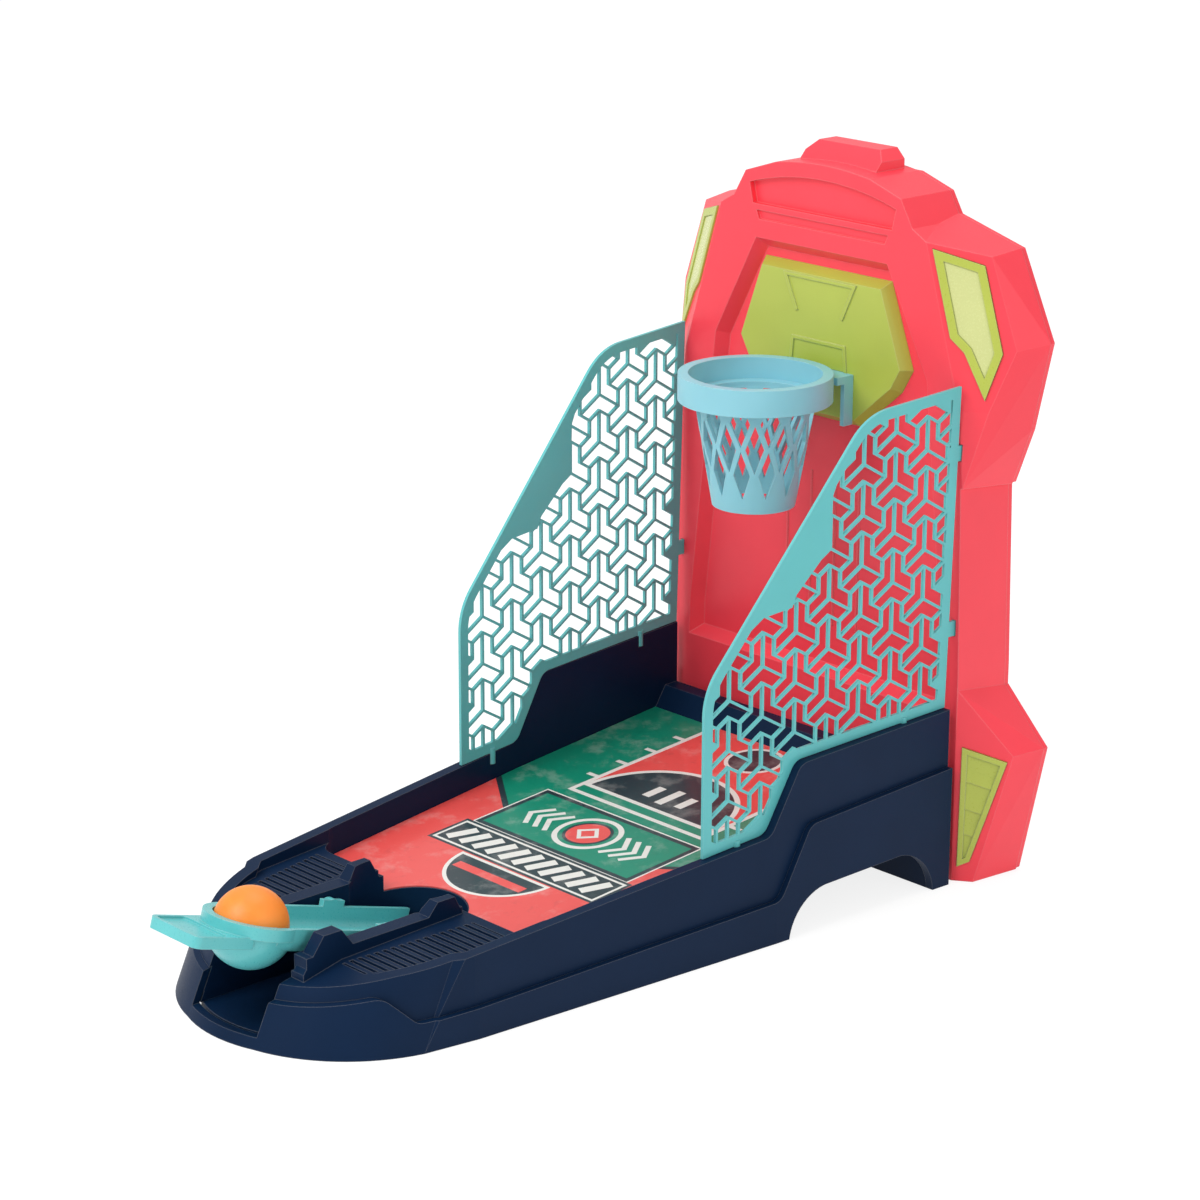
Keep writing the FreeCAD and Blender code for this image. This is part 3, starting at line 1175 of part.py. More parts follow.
panel = recess("panel", both_sides(scaled(PANEL_SHARES, TOWER_HALF, TOWER_HEIGHT)),
               size("recess_depth"), size("recess_slope"))
window_right = scaled(WINDOW_SHARES, TOWER_HALF, TOWER_HEIGHT)
window_arch = ("via", 0.0, TOWER_HEIGHT - size("step_round"))
window = prism("window", "XZ", [mirrored(window_right, window_arch)],
               "tower_front - overrun", "tower_front + window_depth")
step = prism("step", "XZ", [both_sides(scaled(STEP_SHARES, TOWER_HALF, TOWER_HEIGHT))],
             "tower_front - overrun", "tower_front + step_depth")
ridge_count = int(size("ridge_count"))
ridge_places = [size("ridge_step") * (index - (ridge_count - 1) / 2) for index in range(ridge_count)]
ridges = bars("ridges", "XZ", ridge_places, size("ridge_low"), size("ridge_low") + size("ridge_length"),
              size("ridge_width"), "tower_front + recess_depth - ridge_height",
              "tower_front + recess_depth + tower_wall / 2")
cover_posts = [
    cylinder("cover_post_%d" % index, "boss_post", "tower_depth - tower_wall",
             vec(place.x, TOWER_BACK, place.z), PLAYERWARD)
    for index, place in enumerate(COVER_SCREWS)
]
NET_RUN = vec(size("net_front_half") - size("net_rear_half"), -size("net_length"), 0)
NET_RUN.normalize()
HOOK_HEIGHTS = (size("net_hook_low"), size("net_top_height") - size("net_hook_drop"))
hook_slots = []
for height in HOOK_HEIGHTS:
    for hand in (-1, 1):
        half = net_half(-size("net_hook_length")) * hand
        side = size("net_thick") / 2 + size("rest_gap")
        tall = size("net_hook_height") / 2 + size("rest_gap")
        hook_slots.append(block("hook_slot_%d_%d" % (height, hand), (half - side, half + side),
                                ("tower_front - overrun", "tower_front + net_hook_length"),
                                (height - tall, height + tall)))
trunk_wings = joined("trunk_wings", [trunk, crest_block] + wing_solids)
tower_hollow = carved("tower_hollow", trunk_wings, [trunk_space] + wing_spaces)
tower_posts = joined("tower_posts", [tower_hollow] + cover_posts)
tower_tools = [panel, window, step] + wing_pockets + hook_slots
tower_tools += screw_bores("tower_link_hole", LINK_SCREWS, PLAYERWARD, "screw_radius + fit_gap",
                           "link_screw_length")
tower_tools += screw_bores("board_hole", BOARD_SCREWS, PLAYERWARD, "screw_radius + fit_gap",
                           "board_screw_length")
tower_tools += screw_bores("cover_bore", COVER_SCREWS, PLAYERWARD, "screw_radius + fit_gap",
                           "screw_length + rest_gap")
tower_front = joined("tower_front_piece", [carved("tower_carved", tower_posts, tower_tools), ridges])

cover_outlines = [
    both_sides(trunk_right),
    scaled([(share[0], share[2]) for share in COVER_UPPER_SHARES], size("upper_reach"), TOWER_HEIGHT),
    scaled([(share[0], share[2]) for share in COVER_LOWER_SHARES], size("lower_reach"), TOWER_HEIGHT),
]
cover_plates = []
for index, outline in enumerate(cover_outlines):
    inner = moved_in(outline, size("cover_margin"))
    plate = prism("cover_plate_%d" % index, "XZ", [inner], "tower_front + tower_depth",
                  "tower_front + tower_depth + cover_thick")
    cover_plates.append(plate)
    if index > 0:
        cover_plates.append(mirror_of("cover_plate_left_%d" % index, plate))
tower_back = carved("tower_back_piece", joined("cover_joined", cover_plates),
                    screw_bores("cover_hole", COVER_SCREWS, PLAYERWARD, "screw_radius + fit_gap",
                                "screw_length")
                    + screw_bores("cover_sink", COVER_SCREWS, PLAYERWARD * -1, "head_radius + fit_gap",
                                  "head_height + overrun"))

# Backboard on the panel's floor
BOARD_FLOOR = size("tower_front") + size("recess_depth")
BOARD_FACE = BOARD_FLOOR - size("board_thick")
board_rise = size("board_high") - size("board_low")


def board_points(shares):
    """Points on the backboard from their shares of its half width and height."""
    return [(across * size("board_half"), size("board_low") + up * board_rise) for across, up in shares]


board_outline = both_sides(board_points(BOARD_SHARES))
board_front = moved_in(board_outline, size("board_slope"))
board_block = fixed_shape("board_block", convex_solid(
    [vec(across, BOARD_FLOOR, up) for across, up in board_outline]
    + [vec(across, BOARD_FACE, up) for across, up in board_front]))
board_lines = [
    strip(both_sides(board_points(BOARD_SQUARE_SHARES)), size("board_line")),
    strip(both_sides(board_points(BOARD_CROWN_SHARES)), size("board_line")),
]
BOARD_RAISE = ("tower_front + recess_depth - board_thick - board_ridge",
               "tower_front + recess_depth - board_thick / 2")
board_ridges = [prism("board_ridge_%d" % index, "XZ", [outline], *BOARD_RAISE)
                for index, outline in enumerate(board_lines)]
TONGUE_HALF = size("arm_half") - 2 * size("arm_leg_thick")
arm_top = size("hoop_top") - size("arm_drop")
tongue_room = size("fit_gap")
backboard = carved("backboard_piece", joined("board_joined", [board_block] + board_ridges), [
    block("tongue_slot", (-TONGUE_HALF - tongue_room, TONGUE_HALF + tongue_room),
          (BOARD_FACE - OVER, BOARD_FACE + size("arm_tongue") + tongue_room),
          (arm_top - size("arm_thick") - tongue_room, arm_top + tongue_room)),
] + screw_bores("board_bore", BOARD_SCREWS, PLAYERWARD, "screw_radius + fit_gap", "board_screw_length"))

# Hoop with its basket and arm
RING_LOW = size("hoop_top") - size("hoop_band")
BASKET_LOW = RING_LOW - size("basket_drop")
HOOP = vec(0, -size("hoop_out"), 0)


def basket_radius(height):
    """Outer radius of the basket at a height above the table."""
    share = (height - BASKET_LOW) / size("basket_drop")
    return size("basket_low_radius") + share * (size("basket_top_radius") - size("basket_low_radius"))


def hoop_body():
    """The ring and the closed cone of the basket, turned about the hoop's axis."""
    wall = size("basket_wall")
    profile = [
        (size("hoop_inner"), size("hoop_top")), (size("hoop_radius"), size("hoop_top")),
        (size("hoop_radius"), RING_LOW), (size("basket_top_radius"), RING_LOW),
        (size("basket_low_radius"), BASKET_LOW), (size("basket_low_radius") - wall, BASKET_LOW),
        (size("basket_top_radius") - wall, RING_LOW), (size("basket_top_radius") - wall, RING_LOW + wall),
        (size("hoop_inner"), RING_LOW + wall),
    ]
    corners = [vec(across, 0, up) for across, up in profile]
    section = Part.Face(Part.makePolygon(corners + corners[:1]))
    return section.revolve(vec(0, 0, 0), UP, 360)


def basket_cells():
    """Staggered rows of slanted four-sided openings through the basket's wall."""
    tools = []
    count = int(size("basket_cells"))
    row_rise = size("cell_height") / 2 + CELL_STEP_SHARE * size("cell_height")
    top_limit = RING_LOW - size("basket_wall") / 2
    for row in range(BASKET_ROWS):
        middle = BASKET_LOW + size("basket_band") + size("cell_height") / 2 + row * row_rise
        widest = basket_radius(RING_LOW - size("cell_height") / 2)
        half = size("cell_width") / 2 * basket_radius(middle) / widest
        low = middle - size("cell_height") / 2
        high = middle + size("cell_height") / 2
        if high > top_limit:
            cut = half * (high - top_limit) / (high - middle)
            points = [(0.0, low), (half, middle), (cut, top_limit), (-cut, top_limit), (-half, middle)]
        else:
            points = [(0.0, low), (half, middle), (0.0, high), (-half, middle)]
        corners = [vec(0, across, up) for across, up in points]
        face = Part.Face(Part.makePolygon(corners + corners[:1]))
        tool = face.extrude(SIDEWAYS * size("hoop_radius"))
        for index in range(count):
            turned = tool.copy()
            turned.rotate(vec(0, 0, 0), UP, 360.0 / count * (index + row * HALF_SHARE))
            tools.append(turned)
    return tools


basket = hoop_body().cut(Part.makeCompound(basket_cells()))
basket.translate(HOOP)
hoop_ring = fixed_shape("hoop_ring", basket)
arm_span = ("0 - hoop_out + hoop_inner", BOARD_FACE)
arm_pieces = [
    block("arm_plate", ("0 - arm_half", "arm_half"), arm_span, (arm_top - size("arm_thick"), arm_top)),
    block("arm_tongue_block", (-TONGUE_HALF, TONGUE_HALF), (BOARD_FACE - size("arm_thick"),
                                                            BOARD_FACE + size("arm_tongue")),
          (arm_top - size("arm_thick"), arm_top)),
]
leg_right = block("arm_leg_right", ("arm_half - arm_leg_thick", "arm_half"),
                  (BOARD_FACE - size("arm_leg_deep"), BOARD_FACE),
                  (arm_top - size("arm_leg"), arm_top))
arm_pieces += [leg_right, mirror_of("arm_leg_left", leg_right)]
arm_clear = carved("arm_clear", joined("arm_joined", arm_pieces), [
    cylinder("ring_space", "hoop_inner", "hoop_band", HOOP + UP * (RING_LOW + size("basket_wall"))),
])
hoop_basket = joined("hoop_basket_piece", [hoop_ring, arm_clear])


# Side nets
def clean_pieces(shape, least):
    """The faces of a flat shape that are larger than the least area."""
    return [face for face in shape.Faces if face.Area > least]


def net_outline():
    """A side net's outline: distance in front of the back edge, and height."""
    top = size("net_top_height")
    corner = (size("net_corner_out"), top - size("net_corner_drop"))
    rear_top = (-size("net_rear_lean"), top)
    front_top = (size("net_length"), size("net_front_height"))
    lower = []
    for item in rim_line(size("net_rest"))[:-1]:
        if item[0] == "via":
            lower.append(("via", -item[1], item[2]))
        else:
            lower.append((-item[0], item[1]))
    front_low = (size("net_length"), rim_height(size("net_length")) + size("net_rest"))
    round_size = size("net_corner_round")
    return (lower + [front_low] + corner_arc(front_low, front_top, corner, round_size)
            + corner_arc(front_top, corner, rear_top, round_size) + [rear_top])


def lattice_cells():
    """Bent six-sided cells, three to each branching point of the lattice."""
    pitch = size("lattice_pitch")
    stretch = size("lattice_column") / (pitch * HEX_SHARE)
    cells = []
    columns = int(size("net_length") / size("lattice_column")) + 2
    rows = int(size("net_top_height") / pitch) + 2
    for column in range(columns):
        for row in range(rows):
            middle = (size("lattice_first") + (column - 1) * size("lattice_column"),
                      size("lattice_lift") + (row + HALF_SHARE * (column % 2)) * pitch)
            for turn in range(LATTICE_ARMS):
                angle = 2 * math.pi * turn / LATTICE_ARMS
                corners = []
                for across, up in CELL_SHARES:
                    turned_x = across * math.cos(angle) - up * math.sin(angle)
                    turned_y = across * math.sin(angle) + up * math.cos(angle)
                    corners.append((middle[0] + turned_x * pitch * stretch, middle[1] + turned_y * pitch))
                cells.append(flat_face(moved_in(corners, size("net_bar") / 2)))
    return cells


def net_shape():
    """One side net drawn flat: a frame and lattice as one holed plate, with its pegs and hooks."""
    rim = Part.Wire([curve.toShape() for curve in outline_curves(net_outline())])
    sheet = Part.Face(rim)
    window_face = sheet.makeOffset2D(-size("net_border"))
    web = flat_face([(along * size("net_length"), up * size("net_top_height")) for along, up in WEB_SHARES])
    window_face = window_face.cut(web)
    cells = window_face.common(Part.makeCompound(lattice_cells()))
    least = size("lattice_pitch") * size("net_bar") / 2
    holes = clean_pieces(cells, least)
    wires = []
    for hole in holes:
        wire = hole.OuterWire
        wires.append(wire)
    print("side net gaps:", len(wires))
    thick = size("net_thick")
    holed = Part.Face([rim] + wires)
    holed.validate()
    plate = holed.extrude(vec(0, 0, thick))
    plate.translate(vec(0, 0, -thick / 2))
    for height in HOOK_HEIGHTS:
        reach = size("net_hook_length")
        tall = size("net_hook_height")
        hook = Part.makeBox(reach + size("net_border") / 2, tall, thick,
                            vec(-reach, height - tall / 2, -thick / 2))
        plate = plate.fuse(hook)
    return plate


def hung_net(flat_net, hand):
    """A side net stood in its slanting place, with its two pegs."""
    along = FreeCAD.Vector(NET_RUN)
    turn = FreeCAD.Rotation(along, UP, along.cross(UP), "ZXY")
    net = flat_net.copy()
    net.Placement = FreeCAD.Placement(vec(size("net_rear_half"), 0, 0), turn)
    peg_length = size("net_peg_length") + size("net_border") / 2
    for place in NET_PEGS:
        if place.x > 0:
            net = net.fuse(Part.makeCylinder(size("net_peg_radius"), peg_length, place))
    return net if hand > 0 else to_left(net)


net_flat = net_shape()
side_net_right = fixed_shape("side_net_right", hung_net(net_flat, 1))
side_net_left = fixed_shape("side_net_left", hung_net(net_flat, -1))

# Every piece under its own name, in its place
NODES = {
    "base_skirt": base_skirt, "deck_shell": deck_shell, "court_card": court_card,
    "ball_tray": ball_tray, "stop_pad": stop_pad, "launch_lever": launch_lever,
    "lever_spring": lever_spring, "pivot_keepers": pivot_keepers, "ball": ball,
    "tower_front": tower_front, "tower_back": tower_back, "backboard": backboard,
    "hoop_basket": hoop_basket, "upper_insert_left": upper_insert_left,
    "upper_insert_right": upper_insert_right, "lower_insert_left": lower_insert_left,
    "lower_insert_right": lower_insert_right, "side_net_left": side_net_left,
    "side_net_right": side_net_right,
    "base_screws": screw_set("base_screw_set", BASE_SCREWS, UP, "screw_length"),
    "tray_screws": screw_set("tray_screw_set", TRAY_SCREWS, UP, "screw_length"),
    "keeper_screws": screw_set("keeper_screw_set", KEEPER_SCREWS, UP, "screw_length"),
    "link_screws": screw_set("link_screw_set", LINK_SCREWS, PLAYERWARD, "link_screw_length"),
    "cover_screws": screw_set("cover_screw_set", COVER_SCREWS, PLAYERWARD, "screw_length"),
    "backboard_screws": screw_set("board_screw_set", BOARD_SCREWS, PLAYERWARD, "board_screw_length"),
}
FRONT_TIP = (size("pivot_out") + size("tab_reach") * math.cos(TILT)
             + (size("thumb_top_drop") + size("thumb_thick")) * math.sin(TILT))
SHIFT = (FRONT_TIP - TOWER_BACK - size("cover_thick")) / 2
for label, item in NODES.items():
    place = FreeCAD.Placement(item.Placement)
    if label == "launch_lever":
        place = FreeCAD.Placement(PIVOT, FreeCAD.Rotation(SIDEWAYS, -size("lever_tilt")))
    item.Placement = FreeCAD.Placement(vec(0, SHIFT, 0), FreeCAD.Rotation()) * place
DOC.recompute()

# Check, name and write the pieces
os.makedirs(PARTS_FOLDER, exist_ok=True)
failed = [item.Name for item in DOC.Objects if "Invalid" in item.State or "Error" in item.State]
if failed:
    raise RuntimeError("did not rebuild: " + ", ".join(failed))
for label, item in NODES.items():
    item.Label = label
    if item.Shape.isNull() or not item.Shape.isValid():
        raise RuntimeError("%s has no valid shape" % label)
for label, item in NODES.items():
    item.Shape.exportStep("%s/%s.step" % (PARTS_FOLDER, label))
    box = item.Shape.BoundBox
    print("%-20s solids %2d  x %7.1f %7.1f  y %7.1f %7.1f  z %6.1f %6.1f" % (
        label, len(item.Shape.Solids), box.XMin, box.XMax, box.YMin, box.YMax, box.ZMin, box.ZMax))
print("shift along Y:", round(SHIFT, 3))
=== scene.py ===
import math

import bmesh
import bpy
from bpy.props import FloatProperty, FloatVectorProperty, IntProperty, PointerProperty
from bpy.types import Operator, Panel, PropertyGroup
from mathutils import Matrix, Vector


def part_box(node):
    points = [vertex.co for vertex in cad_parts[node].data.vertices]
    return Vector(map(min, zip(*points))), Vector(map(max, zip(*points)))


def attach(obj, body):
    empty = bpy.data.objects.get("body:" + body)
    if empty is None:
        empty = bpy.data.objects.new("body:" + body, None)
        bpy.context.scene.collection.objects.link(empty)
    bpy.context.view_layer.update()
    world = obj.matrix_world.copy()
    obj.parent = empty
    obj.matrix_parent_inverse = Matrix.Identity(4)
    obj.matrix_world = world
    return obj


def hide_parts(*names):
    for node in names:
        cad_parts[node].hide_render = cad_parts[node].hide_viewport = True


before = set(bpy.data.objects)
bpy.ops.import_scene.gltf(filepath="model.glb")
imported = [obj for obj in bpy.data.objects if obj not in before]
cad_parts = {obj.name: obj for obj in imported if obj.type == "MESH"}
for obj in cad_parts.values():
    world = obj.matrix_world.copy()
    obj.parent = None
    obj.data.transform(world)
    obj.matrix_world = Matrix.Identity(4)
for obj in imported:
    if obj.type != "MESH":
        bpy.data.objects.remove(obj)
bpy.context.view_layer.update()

bl_info = {
    "name": "Tabletop Basketball Game",
    "version": (1, 0, 0),
    "blender": (4, 5, 0),
    "location": "3D View > Sidebar > Basketball",
    "description": "Finishes for a tabletop basketball game of moulded plastic",
    "category": "Object",
}

MM = 0.001


# Colours and small helpers

def linear(code):
    """A colour written as an sRGB hex code, as linear red, green and blue."""
    channels = [int(code[at:at + 2], 16) / 255 for at in (1, 3, 5)]
    return tuple(c / 12.92 if c <= 0.04045 else ((c + 0.055) / 1.055) ** 2.4 for c in channels)


def opaque(colour):
    """A colour with full alpha, for a colour socket."""
    return (*colour, 1.0)


def add(tree, kind, inputs=None, **settings):
    """One node with its settings, and its inputs set to values or linked to sockets."""
    made = tree.nodes.new(kind)
    for name, value in settings.items():
        setattr(made, name, value)
    for name, value in (inputs or {}).items():
        if isinstance(value, bpy.types.NodeSocket):
            tree.links.new(value, made.inputs[name])
        else:
            made.inputs[name].default_value = value
    return made


def per_metre(millimetres):
    """The scale of a pattern whose features are so many millimetres apart."""
    return 1 / (millimetres * MM)


def colour_property(label, code):
    """A colour that a user may change."""
    return FloatVectorProperty(name=label, description=label + " of the game", subtype="COLOR",
                               size=3, min=0.0, max=1.0, default=linear(code))


def length_property(label, millimetres):
    """A length that a user may change."""
    return FloatProperty(name=label, description=label, default=millimetres * MM, min=0.0,
                         subtype="DISTANCE", unit="LENGTH", precision=5)


class BasketballColours(PropertyGroup):
    """Colours of the plastics, the print and the metal."""

    navy: colour_property("Navy plastic", "#0a223f")
    coral: colour_property("Coral red plastic", "#fb4352")
    teal: colour_property("Turquoise plastic", "#5fc0c2")
    sky: colour_property("Light blue plastic", "#8ccbd9")
    lime: colour_property("Lime plastic", "#b4bf4c")
    pale_lime: colour_property("Pale lime panels", "#cdd28c")
    ball: colour_property("Ball", "#ff9233")
    court_green: colour_property("Green ink", "#0c8a6d")
    court_coral: colour_property("Coral ink", "#e8534f")
    court_dark: colour_property("Dark ink", "#25353c")
    court_line: colour_property("White ink", "#e6e6e0")
    steel: colour_property("Zinc plated steel", "#b9bcc0")
    rubber: colour_property("Stop pad", "#1a1a1b")
    floor: colour_property("Table and backdrop", "#ffffff")


class BasketballSizes(PropertyGroup):
    """Sizes of the surface detail and the small hardware."""

    edge_round: length_property("Rounding of moulded edges", 0.45)
    net_edge_round: length_property("Rounding of the nets' bars", 0.3)
    satin_grain: length_property("Spacing of the satin grain", 0.55)
    print_wear: length_property("Spacing of the print's worn patches", 14.0)
    head_radius: length_property("Radius of a screw's head", 2.7)
    head_height: length_property("Height of a screw's head", 1.7)
    shank_radius: length_property("Radius of a screw's shank", 1.3)
    thread_pitch: length_property("Pitch of the screws' threads", 0.9)
    panel_rise: length_property("Rise of the pale panels", 0.35)
    random_seed: IntProperty(name="Seed", description="Seed of the screws' turns", default=4, min=0)


class BasketballStage(PropertyGroup):
    """Camera and lights."""

    azimuth: FloatProperty(name="Azimuth", description="Camera azimuth", subtype="ANGLE", unit="ROTATION",
                           default=math.radians(47.1485))
    elevation: FloatProperty(name="Elevation", description="Camera elevation", subtype="ANGLE",
                             unit="ROTATION", default=math.radians(17.3803))
    roll: FloatProperty(name="Roll", description="Camera roll", subtype="ANGLE", unit="ROTATION",
                        default=math.radians(0.1495))
    place: FloatVectorProperty(name="Place", description="Where the camera stands", size=3,
                               subtype="TRANSLATION", unit="LENGTH", default=(0.927606, -0.832442, 0.518571))
    lens: FloatProperty(name="Lens", description="Focal length", default=105.0, min=1.0, unit="CAMERA")
    sky_strength: FloatProperty(name="Surrounding light", description="Strength of the even light",
                                default=0.62, min=0.0)


def colours():
    """The colours in use."""
    return bpy.context.scene.basketball_colours


def sizes():
    """The sizes in use."""
    return bpy.context.scene.basketball_sizes


# Materials

def new_material(name):
    """An empty material and its node tree."""
    material = bpy.data.materials.new(name)
    material.use_nodes = True
    material.node_tree.nodes.clear()
    return material, material.node_tree


def finish_material(tree, shader):
    """The last node, which shows a shader on the surface."""
    add(tree, "ShaderNodeOutputMaterial", {"Surface": shader})


def mixed(tree, factor, first, second):
    """A colour between two others."""
    inputs = {0: factor, 6: first, 7: second}
    node = add(tree, "ShaderNodeMix", inputs, data_type="RGBA", clamp_factor=True)
    return node.outputs[2]


def value_of(tree, operation, first, second=None, third=None, clamp=False):
    """A number worked out from others."""
    given = [value for value in (first, second, third) if value is not None]
    return add(tree, "ShaderNodeMath", dict(enumerate(given)), operation=operation,
               use_clamp=clamp).outputs[0]


def vector_of(tree, operation, inputs, output=0):
    """What a vector operation gives."""
    return add(tree, "ShaderNodeVectorMath", inputs, operation=operation).outputs[output]


def bumped(tree, height, depth_mm, strength, **more):
    """A normal that leans as a relief of the given depth in millimetres would make it."""
    inputs = {"Strength": strength, "Distance": depth_mm * MM, "Height": height, **more}
    return add(tree, "ShaderNodeBump", inputs).outputs[0]


def noise(tree, coordinates, spacing, detail=2.0, roughness=0.5):
    """Random cloudy values whose spots are about the given millimetres apart."""
    inputs = {"Vector": coordinates, "Scale": per_metre(spacing), "Detail": detail, "Roughness": roughness}
    return add(tree, "ShaderNodeTexNoise", inputs).outputs[0]


def spread(tree, value, low, high, to_low, to_high):
    """A value moved from one range to another."""
    inputs = {"Value": value, "From Min": low, "From Max": high, "To Min": to_low, "To Max": to_high}
    return add(tree, "ShaderNodeMapRange", inputs).outputs[0]


def edge_light(tree, soft_normal):
    """How far the surface is an edge, from how much its rounded normal leans from the flat one."""
    flat = add(tree, "ShaderNodeNewGeometry").outputs["Normal"]
    facing = vector_of(tree, "DOT_PRODUCT", {0: soft_normal, 1: flat}, "Value")
    return spread(tree, facing, 1.0, EDGE_COSINE, 0.0, 1.0)


# Injection moulded plastic: spacing of the melt's flow clouds in millimetres, the cosine at which an
# edge counts as fully turned, how pale an edge is painted as a highlight, the swing of the gloss over
# the grain, and how far light of each colour sinks in, as shares of a depth in millimetres
FLOW_CLOUDS = 26.0
EDGE_COSINE = 0.86
EDGE_HIGHLIGHT_PALENESS = 0.35
GLOSS_SWING = 0.06
EDGE_SAMPLES = 6
SINK_SHARES = (1.0, 0.6, 0.35)
SINK_DEPTH = 1.5
ABS_IOR = 1.53
POLYPROPYLENE_IOR = 1.49


def moulded_plastic(name, colour, roughness, grain_mm, grain_depth_mm, edge_round, mottle, edge_highlight_gain,
                    ior=ABS_IOR, see_through=0.0, gloss=0.5):
    """Injection moulded plastic: grain of the tool's steel, faint flow clouds, softly rounded edges and a
    painted highlight that makes the edges paler.
    """
    material, tree = new_material(name)
    where = add(tree, "ShaderNodeTexCoord").outputs["Object"]
    soft = add(tree, "ShaderNodeBevel", {"Radius": edge_round}, samples=EDGE_SAMPLES).outputs[0]
    clouds = noise(tree, where, FLOW_CLOUDS, detail=3.0)
    specks = noise(tree, where, grain_mm, detail=2.0, roughness=0.6)
    grain = bumped(tree, specks, grain_depth_mm, strength=1.0, Normal=soft)
    shade = spread(tree, clouds, 0.3, 0.7, 1 - mottle, 1 + mottle)
    tinted = vector_of(tree, "SCALE", {0: colour, "Scale": shade})
    # painted highlight: the rounded edges are painted paler than the plastic's colour, as if they caught the
    # light
    edges = value_of(tree, "MULTIPLY", edge_light(tree, soft), edge_highlight_gain, clamp=True)
    painted_highlight_colour = opaque([channel + (1 - channel) * EDGE_HIGHLIGHT_PALENESS for channel in colour])
    lit = mixed(tree, edges, tinted, painted_highlight_colour)
    matt = spread(tree, specks, 0.2, 0.8, roughness - GLOSS_SWING, roughness + GLOSS_SWING)
    inputs = {"Base Color": lit, "Roughness": matt, "IOR": ior, "Specular IOR Level": gloss, "Normal": grain}
    if see_through:
        inputs.update({"Subsurface Weight": see_through, "Subsurface Radius": SINK_SHARES,
                       "Subsurface Scale": SINK_DEPTH * MM})
    finish_material(tree, add(tree, "ShaderNodeBsdfPrincipled", inputs).outputs[0])
    return material


# Printed court: each entry is one printed shape in millimetres on the card, seen from above.
# box: centre x, centre y, half width, half depth, turn in degrees; disc: x, y, radius;
# ring: x, y, radius, half width. A y limit keeps only what lies between its two values.
# Half widths of the lane, of a line and of a tick, a y beyond the card, and the y of the shapes'
# middles from the hoop to the player.
LANE = 37.0
LINE = 1.1
TICK = 3.2
EVERYWHERE = 200.0
SPOT = 113.0
FREE_LINE = 54.0
BADGE = 22.0
BAND = -9.0
HALF_DISC = -19.0
PANEL = (0.0, 21.0, 44.0, 20.0)
COURT_SHAPES = [
    ("box", (0.0, 92.0, LANE, 38.0, 0.0), "court_coral", None),
    ("disc", (0.0, FREE_LINE, 35.0), "court_dark", (FREE_LINE, EVERYWHERE)),
    ("ring", (0.0, FREE_LINE, 35.0, LINE), "court_line", (FREE_LINE, EVERYWHERE)),
    ("disc", (0.0, SPOT, 11.5), "court_dark", None),
    ("ring", (0.0, SPOT, 11.5, LINE * 0.8), "court_line", None),
    ("box", (-LANE, 88.0, LINE, 42.0, 0.0), "court_line", None),
    ("box", (LANE, 88.0, LINE, 42.0, 0.0), "court_line", None),
    ("box", (0.0, FREE_LINE, LANE, LINE, 0.0), "court_line", None),
    ("box", (0.0, 47.0, LANE, LINE, 0.0), "court_line", None),
    ("box", (0.0, 66.0, 2.0, 7.0, 0.0), "court_line", None),
    ("box", (-9.0, 66.0, 2.0, 5.0, 0.0), "court_line", None),
    ("box", (9.0, 66.0, 2.0, 5.0, 0.0), "court_line", None),
]
COURT_SHAPES += [("box", (side * (LANE + TICK), along, TICK, LINE, 0.0), "court_line", None)
                 for side in (-1, 1) for along in (62.0, 78.0, 94.0, 110.0)]
COURT_SHAPES += [
    ("disc", (0.0, HALF_DISC, 25.0), "court_line", (-EVERYWHERE, -20.0)),
    ("disc", (0.0, HALF_DISC, 23.4), "court_dark", (-EVERYWHERE, -21.5)),
    ("box", (0.0, -28.5, 19.0, 2.2, 0.0), "court_coral", None),
    ("box", PANEL + (0.0,), "court_line", None),
    ("box", (PANEL[0], PANEL[1], PANEL[2] - 0.8, PANEL[3] - 0.8, 0.0), "court_dark", None),
    ("box", (PANEL[0], PANEL[1], PANEL[2] - 3.0, PANEL[3] - 3.0, 0.0), "court_green", None),
    ("ring", (0.0, BADGE, 13.0, LINE), "court_line", None),
    ("disc", (0.0, BADGE, 9.4), "court_coral", None),
    ("ring", (0.0, BADGE, 9.4, LINE * 0.6), "court_dark", None),
    ("box", (0.0, BADGE, 4.2, 4.2, 45.0), "court_line", None),
    ("box", (0.0, BADGE, 2.6, 2.6, 45.0), "court_coral", None),
]
for offset in (18.5, 24.0, 29.5):
    for side in (-1, 1):
        COURT_SHAPES += [
            ("box", (side * offset, 25.0, LINE, 5.4, side * 35.0), "court_line", None),
            ("box", (side * offset, 17.6, LINE, 5.4, -side * 35.0), "court_line", None),
        ]
COURT_SHAPES += [
    ("box", (0.0, BAND, 47.0, 10.4, 0.0), "court_dark", None),
    ("box", (0.0, BAND, 45.6, 9.0, 0.0), "court_line", None),
    ("box", (0.0, BAND, 44.4, 7.8, 0.0), "court_dark", None),
]
BAR_COUNT = 11
BAR_STEP = 7.6
FIRST_BAR = -38.0
COURT_SHAPES += [("box", (FIRST_BAR + BAR_STEP * index, BAND, 2.2, 6.2, -24.0), "court_line", None)
                 for index in range(BAR_COUNT)]
# Spacings of the printed smudges and of the film's waves in millimetres, and the film's IOR
SMUDGE_SPACING = 5.0
FILM_WAVES = 9.0
FILM_IOR = 1.49
# The coral end in front of a slanting border: how far the border runs back for each millimetre out
# from the middle, where it crosses the middle, and its half width
BORDER_SLOPE = -0.72
BORDER_MIDDLE = -13.0
BORDER_LINE = 1.5


